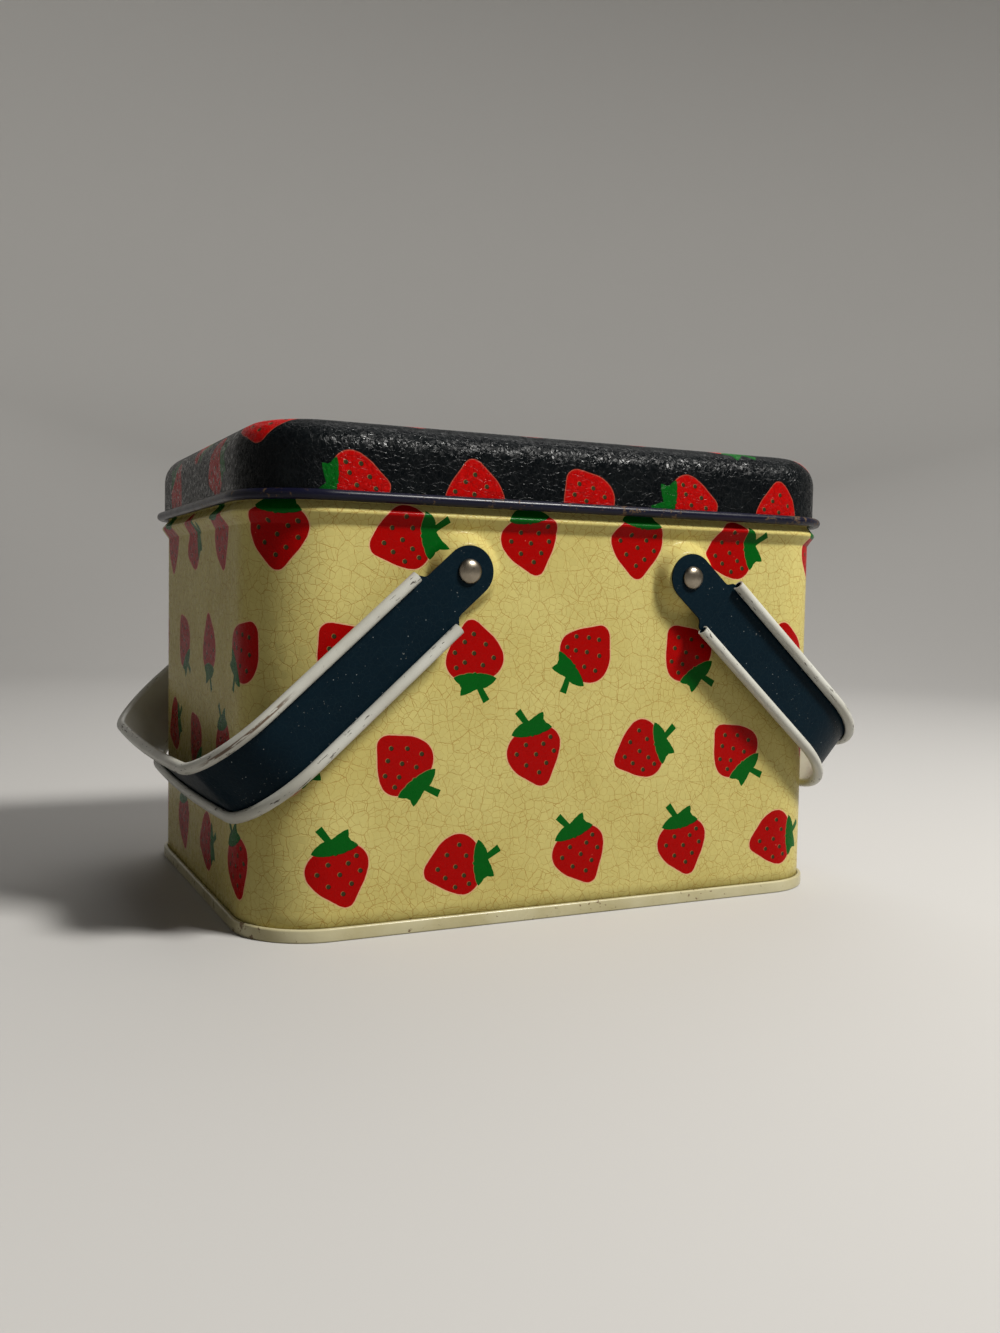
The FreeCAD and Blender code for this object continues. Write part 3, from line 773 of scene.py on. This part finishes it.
def wall_map_place(face, values):
    """The front and the right end lie in one row, the back and the left end in the next."""
    middle = sum(u for u, v in values) / len(values)
    if face.material_index != print_slot:
        heights = [wall_mesh.vertices[i].co.z / MM for i in face.vertices]
        across, up = inside_scale
        return [(0.5 + u * across, inside_row + z * up) for (u, v), z in zip(values, heights)]
    if abs(middle) < strip_edge:
        left, low = -strip_edge, front_row
    elif abs(middle) > half_round - strip_edge:
        values = [(u if u > 0 else u + 2 * half_round, v) for u, v in values]
        left, low = half_round - strip_edge, back_row
    elif middle > 0:
        left, low = -strip_edge - strip_gap, front_row
    else:
        left, low = -half_round - strip_edge - strip_gap, back_row
    return [((u - left) * map_scale + map_margin, v * map_scale + low) for u, v in values]


lay_out(wall_mesh, wall_map_place)
new_piece("body_wall_sheet", wall_mesh, "tin", "printed_wall", "body_wall")

# The bottom. A sheet set up inside the wall, its edge folded round the wall's hooked foot.
# The fold is the plain rim that the tin stands on, lacquered cream and chipped along its edge.
rim_reach, rim_height, rim_inside, rim_gap = 1.35, 3.7, -0.85, 0.16
lip_round, rim_round, foot_round, hook_round = 0.3, 0.55, 0.5, 0.4
panel_top, panel_sheet, panel_lap = 3.4, 0.4, 0.05
formed_strip, given, result = new_tree(
    "formed_strip",
    "Geometry",
    {
        "Geometry": "line",
        "Object": "section",
        "Bool": "caps",
        "Float": "face_points",
        "Material": "back face",
    },
    {"Geometry": "strip"},
)
section = form_of(given["section"])
spline = add_node(formed_strip, "GeometryNodeSplineParameter").outputs
section, point_number = kept_field(section, spline["Index"], "INT")
section, v = kept_field(section, spline["Length"], "FLOAT")
line, u = kept_field(given["line"], spline["Length"], "FLOAT")
strip = swept(line, section, given["caps"])
strip_place = together(u / MM, v / MM)
strip = closed_up(stored_map(strip, strip_place))
strip = coated(strip, given["back"])
on_face = point_number.under(given["face_points"])
plug(coated(strip, given["face"], on_face), result["strip"])


def in_mm(place):
    """A place in metres as one in mm."""
    inputs = {0: place, "Scale": 1 / MM}
    return add_node(place, "ShaderNodeVectorMath", inputs, operation="SCALE").outputs[0]


def object_place(shader):
    """Where a point is on the whole object, in mm, as a vector."""
    return in_mm(add_node(shader, "ShaderNodeTexCoord").outputs["Object"])


plain_cream, plain_aged, rubbed_brown = (0.50, 0.46, 0.29, 1), (0.40, 0.355, 0.19, 1), (0.13, 0.07, 0.03, 1)
rim_cream, shader = new_material(
    "rim_cream", Specular_IOR_Level=0.3, Coat_Weight=0.15, Coat_Roughness=0.15
)
place = object_place(shader)
colour = mixed(noise(place, 0.06, 4.0).eased(0.3, 0.7), plain_cream, plain_aged)
rubbed = grouped(chips, place=place, size=2.0, limit=0.605)["bare"]
colour = mixed(rubbed * 0.85, colour, rubbed_brown)
painted(shader, colour, noise(place, 0.3, 3.0) * 0.2 + rubbed * 0.3 + 0.2)
bumped(shader, noise(place, 0.25, 3.0) * 0.6 - rubbed * 0.4, 0.4, 0.0003)

rim_line = rounded(
    (rim_gap, rim_height, lip_round),
    (rim_reach, rim_height, rim_round),
    (rim_reach, 0, foot_round),
    (rim_inside, 0, hook_round),
    (rim_inside, panel_top, 0),
    (rim_gap, panel_top, 0),
)
rim_mesh = made_by(
    formed_strip,
    line_object("rim_outline", outline_round(flat_step)),
    "bottom_seam",
    section=section_object("rim_section", rim_line, True),
    caps=False,
    face_points=float(len(rim_line)),
    back=rim_cream,
    face=rim_cream,
)
panel_outline = outline_round(flat_step, rim_inside + panel_lap)[:-1]
panel_mesh = plate(panel_outline, panel_top - panel_sheet, panel_top)
panel_mesh.materials.append(rim_cream)
bottom_mesh = joined("bottom_panel", [rim_mesh, panel_mesh])
new_piece("bottom_seam_and_panel", bottom_mesh, "tin", "bottom", "bottom_panel")

# The handles. Each is one strap of tinplate bent to a U, its two long edges rolled outwards so
# that the white back of the sheet shows on them, and its ends cut to round eyes for the rivets.
strap_inside, strap_sheet, strap_end, strap_bend = 75.2, 0.5, 88.0, 21.4
roll_radius, roll_middle, roll_wrap, roll_start = 1.65, 9.35, 300, 13.0
web_margin, grip_step, bend_steps, rest_angle, grip_bow = 0.3, 6, 18, 42.19, 2.4
eye_radius, eye_hole, eye_lap, eye_map_shift = 7.2, 2.3, 0.05, 60
notch_end, notch_round, neck_end, neck_round = 0.9, 0.5, 2.3, 1.9
strap_middle, web_half, roll_half = 49.2, 7.0, 9.0
navy, navy_worn = (0.0012, 0.0068, 0.0122, 1), (0.002, 0.0102, 0.0175, 1)
navy_crack, speck_grey, scuff_grey = (0.006, 0.016, 0.022, 1), (0.30, 0.33, 0.33, 1), (0.16, 0.17, 0.16, 1)
strap_navy, shader = new_material("strap_navy", Specular_IOR_Level=0.06)
place = sheet_place(shader)
cracks = grouped(crackle, place=place, cell=3.4, width=0.16)
colour = mixed(noise(place, 0.12, 5.0), navy, navy_worn)
colour = mixed(cracks["lines"] * 0.5, colour, navy_crack)
specks = grouped(flecks, place=place, spacing=1.1, size=0.2, share=0.2)["dots"]
colour = mixed(specks * 0.8, colour, speck_grey)
scuffs = grouped(chips, place=place, size=0.8, limit=0.645)["bare"]
colour = mixed(scuffs * 0.7, colour, scuff_grey)
painted(shader, colour, noise(place, 0.6, 3.0) * 0.2 + 0.3)
relief = noise(place, 0.8, 3.0) * 0.4 + cracks["cells"] * 0.3 - cracks["lines"] * 0.3
bumped(shader, relief, 0.4, 0.0002)

off_white, white_aged = (0.53, 0.53, 0.48, 1), (0.42, 0.41, 0.355, 1)
dash_dark, scrape_brown = (0.05, 0.04, 0.03, 1), (0.085, 0.04, 0.015, 1)
scrape_start, scrape_end, scrape_low, scrape_high = (44.0, 52.0), (78.0, 70.0), (34.4, 34.7), (35.5, 35.2)
strap_white, shader = new_material(
    "strap_white", Specular_IOR_Level=0.25, Coat_Weight=0.05, Coat_Roughness=0.15
)
place = sheet_place(shader)
colour = mixed(noise(place, 0.06, 5.0).eased(0.3, 0.75), off_white, white_aged)
drawn_out = vector_math("MULTIPLY", place, (0.22, 1.0, 1.0))
u, v = apart(place)[:2]
on_rolls = (v - strap_middle).size().eased(web_half, roll_half)
dashes = grouped(chips, place=drawn_out, size=0.8, limit=0.598)["bare"]
dashes = dashes * (on_rolls * 0.9 + 0.1)
colour = mixed(dashes * 0.9, colour, dash_dark)
x = apart(object_place(shader))[0]
scraped = u.eased(*scrape_start) * u.eased(*scrape_end) * v.eased(*scrape_low) * v.eased(*scrape_high)
scraped = scraped * x.under(0.0) * noise(drawn_out, 1.3, 4.0).eased(0.38, 0.46)
colour = mixed(scraped * 0.9, colour, scrape_brown)
painted(shader, colour, noise(place, 0.4, 3.0) * 0.2 + dashes * 0.3 + 0.25)
bumped(shader, noise(place, 0.3, 3.0) * 0.5 - dashes * 0.5, 0.4, 0.0002)


def roll_arc(middle, radius, start, wrap, count=18):
    """Points of a rolled edge's section, from a start angle through the wrap, in degrees."""
    angles = [radians(start + wrap * k / count) for k in range(count + 1)]
    return [(middle[0] + radius * cos(a), middle[1] + radius * sin(a)) for a in angles]


upper_roll, lower_roll = (roll_radius, roll_middle), (roll_radius, -roll_middle)
hollow, web_edge = roll_radius - strap_sheet, roll_middle - web_margin
strap_face = roll_arc(upper_roll, hollow, 180 - roll_wrap, roll_wrap)
strap_face += [(strap_sheet, web_edge), (strap_sheet, -web_edge)]
strap_face += roll_arc(lower_roll, hollow, 180, roll_wrap)
strap_back = roll_arc(lower_roll, roll_radius, 180 + roll_wrap, -roll_wrap)
strap_back += [(0, -web_edge), (0, web_edge)]
strap_back += roll_arc(upper_roll, roll_radius, 180, -roll_wrap)
grip_half = strap_inside - strap_bend
strap_line = rounded(
    (roll_start, -strap_inside, 0),
    (strap_end, -strap_inside, strap_bend),
    *((strap_end, y, 0) for y in steps(-grip_half, grip_half, grip_step)[1:]),
    (strap_end, strap_inside, strap_bend),
    (roll_start, strap_inside, 0),
    arc_steps=bend_steps,
)


def bowed(out, y):
    """A place on the strap's line with the grip bowed a little outwards, as it has been pulled."""
    share = max(0, (out - strap_end + strap_bend) / strap_bend)
    return out + grip_bow * share * (1 - (y / strap_inside) ** 2), y


strap_line = [bowed(out, y) for out, y in strap_line]
eye_round, eye_steps = eye_radius - 0.01, 14
eye_line = rounded(
    (roll_start + eye_lap, roll_middle, 0),
    (roll_start - notch_end, web_edge, notch_round),
    (roll_start - neck_end, eye_radius, neck_round),
    (-eye_radius, eye_radius, eye_round),
    (-eye_radius, -eye_radius, eye_round),
    (roll_start - neck_end, -eye_radius, neck_round),
    (roll_start - notch_end, -web_edge, notch_round),
    (roll_start + eye_lap, -roll_middle, 0),
    arc_steps=eye_steps,
)
hole_line = roll_arc((0, 0), eye_hole, 0, 345, 23)


def make_handle(name, pivot_x, turn):
    """Makes a handle at rest, turned about its rivets by an angle in degrees from level."""
    strap = made_by(
        formed_strip,
        line_object(name + "_line", strap_line),
        name,
        section=section_object(name + "_section", strap_face + strap_back, True),
        caps=True,
        face_points=float(len(strap_face)),
        back=strap_white,
        face=strap_navy,
    )
    eyes = []
    for side in (-1, 1):
        eye = plate(eye_line, 0, strap_sheet, (eye_map_shift * side, 0), hole_line)
        stand = Matrix.Rotation(radians(-90 * side), 4, "X")
        eye.transform(Matrix.Translation((0, side * strap_inside * MM, 0)) @ stand)
        eye.materials.append(strap_navy)
        eyes.append(eye)
    handle = joined(name, [strap, *eyes])
    hang = Matrix.Rotation(radians(turn), 4, "Y")
    handle.transform(Matrix.Translation((pivot_x * MM, 0, boss_z * MM)) @ hang)
    new_piece(name + "_strap", handle, name, "handle", name)


make_handle("handle_right", boss_x, rest_angle)
make_handle("handle_left", -boss_x, 180 - rest_angle)

# The rivets. Each is one nickel-plated steel rivet with a domed head. The handle turns on its
# shoulder, and its end is clinched over a plain washer inside the boss.
rivet_seat, head_radius, head_height, shoulder_radius, shank_radius = 75.8, 3.5, 1.8, 2.25, 1.75
clinch_radius, clinch_depth, clinch_height, shoulder_depth = 2.7, 2.5, 0.8, 0.75
head_lip, edge_break, clinch_edge, clinch_taper = 0.05, 0.1, 0.3, 0.8
nickel, nickel_dull = (0.31, 0.27, 0.21, 1), (0.20, 0.17, 0.13, 1)
rivet_metal = metal_finish("rivet_nickel", 1.0, nickel, nickel_dull, (500.0, 4.0), (900.0, 0.2, 0.2))
dome = [(head_radius * sin(a), head_height * cos(a)) for a in np.linspace(0, pi / 2, 9)]
rivet_line = dome + [
    (head_radius - edge_break, -head_lip),
    (shoulder_radius, -head_lip),
    (shoulder_radius, -shoulder_depth),
    (shank_radius, -shoulder_depth),
    (shank_radius, clinch_height - clinch_depth),
    (clinch_radius, clinch_height - clinch_depth),
    (clinch_radius - edge_break, clinch_edge - clinch_depth),
    (clinch_radius - clinch_taper, -clinch_depth),
    (0, -clinch_depth),
]


def lathe(name, line, count):
    """A mesh turned about the -Y axis from a line of (radius, height), closed where it meets it."""
    form = bmesh.new()
    rings = []
    for radius, height in line:
        angles = [2 * pi * k / count for k in range(count if radius > 1e-6 else 1)]
        spots = [(radius * sin(a) * MM, -height * MM, radius * cos(a) * MM) for a in angles]
        rings.append([form.verts.new(spot) for spot in spots])
    for upper, lower in zip(rings, rings[1:]):
        for k in range(count):
            corners = [upper[k % len(upper)], upper[(k + 1) % len(upper)]]
            corners += [lower[(k + 1) % len(lower)], lower[k % len(lower)]]
            form.faces.new(list(dict.fromkeys(corners)))
    bmesh.ops.recalc_face_normals(form, faces=form.faces)
    mesh = bpy.data.meshes.new(name)
    form.to_mesh(mesh)
    form.free()
    return mesh


set_rivets, given, result = new_tree(
    "set_rivets",
    "Geometry",
    {"Geometry": "seats", "Object": "rivet", "Material": "metal"},
    {"Geometry": "rivets"},
)
y = apart(spot(set_rivets))[1]
turn_inputs = {"Axis": (0, 0, 1), "Angle": y.over(0.0) * pi}
half_turn = add_node(set_rivets, "FunctionNodeAxisAngleToRotation", turn_inputs).outputs[0]
rivet_form = form_of(given["rivet"])
set_inputs = {"Points": given["seats"], "Instance": rivet_form, "Rotation": half_turn}
placed = add_node(set_rivets, "GeometryNodeInstanceOnPoints", set_inputs).outputs[0]
placed = coated(closed_up(placed), given["metal"])
plug(placed, result["rivets"])
seats = bpy.data.meshes.new("rivet_seats")
ends = [(x * boss_x * MM, y * rivet_seat * MM, boss_z * MM) for x in (-1, 1) for y in (-1, 1)]
seats.from_pydata(ends, [], [])
rivets_mesh = made_by(
    set_rivets,
    new_object("rivet_seats", seats),
    "rivets",
    rivet=new_object("rivet_form", lathe("rivet_form", rivet_line, 40)),
    metal=rivet_metal,
)
rivet_nodes = [f"rivet_{face}_{side}" for face in ("front", "back") for side in ("left", "right")]
new_piece("rivets", rivets_mesh, "tin", "rivet", *rivet_nodes)

# The washers. Each is a plain ring stamped from tinned steel, held inside its boss by the
# clinched end of the rivet. The solids have the right shape and only get their finish here.
tinned, tinned_dull = (0.55, 0.54, 0.50, 1), (0.38, 0.36, 0.33, 1)
washer_steel = metal_finish("washer_steel", 1.0, tinned, tinned_dull, (400.0, 3.0), (700.0, 0.25, 0.3))
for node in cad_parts.values():
    if node.name.startswith("rivet_washer"):
        node.material_slots[0].material = washer_steel

# The lid. One drawn sheet with a flat top, a round shoulder and a straight skirt, printed dark
# blue with the same fruit. Its lower edge is rolled outwards and sits on the wall's bead.
lid_top, lid_outside, lid_sheet, shoulder = 140.0, 1.4, 0.4, 9.0
edge_middle, edge_radius, edge_wrap = (2.45, 119.35), 1.45, 300
top_start, skirt_foot, skirt_rows, shoulder_steps = -12.0, 119, (128, 125, 122), 12
drawn_lid, given, result = new_tree(
    "drawn_lid",
    "Geometry",
    {
        "Geometry": "outline",
        "Object": "section",
        "Float": "top_start print_points edge_points",
        "Material": "inside edge print",
    },
    {"Geometry": "lid"},
)
normal = add_node(drawn_lid, "GeometryNodeInputNormal").outputs[0]
outline, way = kept_field(levelled(given["outline"]), normal, "VECTOR")
outline, foot = kept_field(outline, spot(drawn_lid), "VECTOR")
section = form_of(given["section"])
spline = add_node(drawn_lid, "GeometryNodeSplineParameter").outputs
section, point_number = kept_field(section, spline["Index"], "INT")
section, run = kept_field(section, spline["Length"], "FLOAT")
lid_form = swept(outline, section)
reached = run + given["top_start"]
flat_place = in_mm(vector_math("MULTIPLY_ADD", way, reached, foot))
lid_form = closed_up(stored_map(lid_form, flat_place))
lid_form = coated(lid_form, given["inside"])
lid_form = coated(lid_form, given["edge"], point_number.under(given["edge_points"]))
lid_form = coated(lid_form, given["print"], point_number.under(given["print_points"]))
plug(lid_form, result["lid"])

lid_blue, lid_worn = (0.0018, 0.0026, 0.0034, 1), (0.0042, 0.0055, 0.0062, 1)
# The pale grey of the specks on the dark ground is partly dust and partly painted sparkle.
lid_crack, lid_dust_and_glint = (0.016, 0.018, 0.02, 1), (0.14, 0.15, 0.15, 1)
lid_red, lid_outline, red_crack = (0.38, 0.002, 0.0016, 1), (0.34, 0.05, 0.03, 1), (0.16, 0.003, 0.003, 1)
lid_column, lid_row, lid_first = 35.2, 28.8, (-68.5, -86.3)
dull_start, dull_full, dull_end = 137.4, 139.2, 0.1
lid_motifs = (
    ((-86, 0.4, 0.1), (178, -1, 0.3), (150, -0.8, 0.6), (-86, 1.2, 0.3), (180, -1.2, 0.1), (-150, -4, 0.5)),
    ((-20, 0, 0.2), (80, 0, 0.6), (-30, 1, 0.2), (150, 0, 0.3), (-80, -1, 0.7), (45, -3, 0.2)),
    ((140, 0, 0.4), (-15, 0, 0.8), (70, 0, 0.3), (-110, 1, 0.4), (15, 0, 0.2), (165, 0, 0.6)),
)
lid_print, shader = new_material("lid_print", Specular_IOR_Level=0.07)
place = sheet_place(shader)
cracks = grouped(crackle, place=place, cell=3.6, width=0.16)
inks = tossed_print(place, lid_column, lid_row, lid_first, lid_motifs)
ground = mixed(noise(place, 0.09, 4.0).eased(0.35, 0.75), lid_blue, lid_worn)
ground = mixed(cracks["lines"] * 0.4, ground, lid_crack)
# Pale specks on the dark ground: partly dust, partly painted sparkle of the lacquer.
dust_and_glints = grouped(flecks, place=place, spacing=1.3, size=0.2, share=0.14)["dots"]
ground = mixed(dust_and_glints * 0.6, ground, lid_dust_and_glint)
colour = inked(ground, inks, lid_outline, lid_red)
colour = mixed(cracks["lines"] * inks["red"] * 0.35, colour, red_crack)
flakes = grouped(crackle, place=place, cell=1.9, width=0.1)
height = apart(object_place(shader))[2]
dulled = height.eased(dull_start, dull_full) * height.eased(lid_top, lid_top - dull_end)
glossy = flakes["cells"].eased(0.6, 0.8) * (dulled * -1.0 + 1.0)
polish = noise(place, 0.5, 3.0) * 0.14 - glossy * 0.2 + dulled * 0.36 + 0.24
painted(shader, colour, polish)
relief = noise(place, 2.2, 2.0) * 0.25 - cracks["lines"] * 0.5 + flakes["flakes"] * 2.3
bumped(shader, relief, 0.45, 0.0003)

edge_blue, edge_worn = (0.0032, 0.0036, 0.0125, 1), (0.0055, 0.0056, 0.018, 1)
edge_rubbed = (0.11, 0.065, 0.03, 1)
lid_edge, shader = new_material(
    "lid_edge", Specular_IOR_Level=0.15, Coat_Weight=0.08, Coat_Roughness=0.15
)
place = object_place(shader)
colour = mixed(noise(place, 0.05, 4.0), edge_blue, edge_worn)
scuffs = grouped(chips, place=place, size=1.5, limit=0.575)["bare"]
colour = mixed(scuffs * 0.7, colour, edge_rubbed)
painted(shader, colour, noise(place, 0.3, 3.0) * 0.2 + scuffs * 0.2 + 0.22)
bumped(shader, noise(place, 0.5, 3.0) * 0.5 - scuffs * 0.5, 0.4, 0.0002)

edge_hollow = edge_radius - lid_sheet
outside_shoulder = rounded(
    (top_start, lid_top, 0),
    (lid_outside, lid_top, shoulder),
    (lid_outside, skirt_foot, 0),
    arc_steps=shoulder_steps,
)
lid_face = [
    *outside_shoulder[:-1],
    *((lid_outside, row) for row in skirt_rows),
    *roll_arc(edge_middle, edge_hollow, 180, edge_wrap),
]
lid_roll = roll_arc(edge_middle, edge_radius, 180 + edge_wrap, -edge_wrap)
lid_inside = lid_outside - lid_sheet
inside_shoulder = rounded(
    (lid_inside, skirt_foot, 0),
    (lid_inside, lid_top - lid_sheet, shoulder - lid_sheet),
    (top_start, lid_top - lid_sheet, 0),
    arc_steps=shoulder_steps,
)
lid_back = [*((lid_inside, row) for row in reversed(skirt_rows)), *inside_shoulder[1:]]
lid_mesh = made_by(
    drawn_lid,
    line_object("lid_outline", outline_round(flat_step)),
    "lid",
    section=section_object("lid_section", lid_face + lid_roll + lid_back, False),
    top_start=top_start * MM,
    print_points=float(len(lid_face)) - 0.5,
    edge_points=float(len(lid_face) + len(lid_roll)) - 1.5,
    inside=wall_lacquer,
    edge=lid_edge,
    print=lid_print,
)

form = bmesh.new()
form.from_mesh(lid_mesh)
sheet_layer = form.loops.layers.uv["Sheet"]
rims = [edge for edge in form.edges if edge.is_boundary]
tops = bmesh.ops.holes_fill(form, edges=rims, sides=0)["faces"]
for face in tops:
    above = face.calc_center_median().z > (lid_top - lid_sheet / 2) * MM
    face.material_index = lid_mesh.materials.find((lid_print if above else wall_lacquer).name)
    face.smooth = True
    for loop in face.loops:
        loop[sheet_layer].uv = loop.vert.co.xy / MM
bmesh.ops.recalc_face_normals(form, faces=tops)
form.to_mesh(lid_mesh)
form.free()
lid_print_slot, lid_edge_slot = [lid_mesh.materials.find(m.name) for m in (lid_print, lid_edge)]
sheet_margin, lid_foot = 26, 117.9
lid_map_scale = 0.98 / (wall_length + 2 * sheet_margin)
lid_map_middle, ring_middle, ring_length = (0.5, 0.41), 0.45, 0.85
edge_ring, edge_rise, inside_ring, inside_rise = 0.84, 0.012, 0.89, 0.0045


def lid_map_place(face, values):
    """The sheet laid flat, with the rolled edge and the inside squeezed in above it."""
    if face.material_index == lid_print_slot:
        return [Vector(lid_map_middle) + value * lid_map_scale for value in values]
    turns = [atan2(v, u) / (2 * pi) for u, v in values]
    if max(turns) - min(turns) > 0.5:
        turns = [turn if turn > 0 else turn + 1 for turn in turns]
    heights = [lid_mesh.vertices[i].co.z / MM - lid_foot for i in face.vertices]
    on_edge = face.material_index == lid_edge_slot
    ring, rise = (edge_ring, edge_rise) if on_edge else (inside_ring, inside_rise)
    return [(ring_middle + t * ring_length, ring + h * rise) for t, h in zip(turns, heights)]


lay_out(lid_mesh, lid_map_place)
new_piece("lid_sheet", lid_mesh, "lid", "lid", "lid")

# The floor. Pale, plain paper that curves up to a backdrop all round. It is seen a little
# paler than the light that it throws back, so that the shaded sides keep their depth.
floor_reach, floor_curve, backdrop_height, backdrop_start = 1700, 700, 2600, 500.0
floor_pale, backdrop_pale = (0.48, 0.47, 0.455, 1), (0.72, 0.71, 0.69, 1)
thrown_back = (0.36, 0.35, 0.335, 1)
floor_line = rounded(
    (0, 0, 0),
    (floor_reach, 0, floor_curve),
    (floor_reach, backdrop_height, 0),
    arc_steps=16,
)
floor_mesh = lathe("floor", floor_line, 96)
floor_mesh.transform(Matrix.Rotation(radians(-90), 4, "X"))
floor_mesh.polygons.foreach_set("use_smooth", [True] * len(floor_mesh.polygons))
floor = new_object("floor", floor_mesh)
floor_paper, shader = new_material("floor_paper", Roughness=0.8)
height = apart(object_place(shader))[2]
colour = mixed(height.eased(0.0, backdrop_start), floor_pale, backdrop_pale)
rays = add_node(shader, "ShaderNodeLightPath").outputs
seen = Wire(rays["Is Camera Ray"]).larger(rays["Is Glossy Ray"])
seen = seen.larger(rays["Is Transmission Ray"])
plug(mixed(seen, thrown_back, colour), shader.inputs["Base Color"])
floor_mesh.materials.append(floor_paper)

# The lamps. A small key lamp high on the right of the front, a large soft one behind on the
# right, and a large weak one overhead.
warm, less_warm, tin_middle = (1.0, 0.98, 0.94), (1.0, 0.98, 0.95), (0, 0, 0.06)


def area_lamp(name, place, target, size, power, colour=(1, 1, 1)):
    """A square lamp at a place, turned to a target."""
    lamp = bpy.data.lights.new(name, "AREA")
    lamp.size = size
    lamp.energy = power
    lamp.color = colour
    holder = new_object(name, lamp)
    holder.location = place
    holder.rotation_euler = (Vector(target) - Vector(place)).to_track_quat("-Z", "Y").to_euler()


area_lamp("key_lamp", (0.45, -0.63, 0.95), tin_middle, 0.24, 19, warm)
area_lamp("back_lamp", (0.45, 0.85, 0.9), tin_middle, 1.0, 5, less_warm)
area_lamp("overhead_lamp", (0.5, 0.1, 1.5), (0.1, 0.1, 0), 1.2, 2.2)
world = bpy.data.worlds.new("studio")
bpy.context.scene.world = world
world.use_nodes = True
background = world.node_tree.nodes["Background"]
background.inputs["Color"].default_value = (0.95, 0.97, 1.0, 1)
background.inputs["Strength"].default_value = 0.03

# The camera. It stands where the photograph was taken, a little above the middle of the tin
# and to the left of its front, and is turned down and rolled as the photograph is.
camera_place = Vector((-171.64, -376.5, 92.92)) * MM
yaw, pitch, roll = radians(25.663), radians(3.234), radians(1.043)
focal_pixels, image_height, sensor = 1195.85, 1333, 36.0
onward = Vector((sin(yaw) * cos(pitch), cos(yaw) * cos(pitch), -sin(pitch)))
level = Vector((cos(yaw), -sin(yaw), 0))
upward = level.cross(onward)
right = level * cos(roll) + upward * sin(roll)
top = upward * cos(roll) - level * sin(roll)
camera_data = bpy.data.cameras.new("camera")
camera_data.sensor_width = sensor
camera_data.lens = focal_pixels * sensor / image_height
camera_data.clip_start = 0.01
camera = new_object("camera", camera_data)
turned = Matrix((right, top, -onward)).transposed().to_4x4()
camera.matrix_world = Matrix.Translation(camera_place) @ turned
bpy.context.scene.camera = camera
bpy.context.scene.view_settings.view_transform = "Standard"
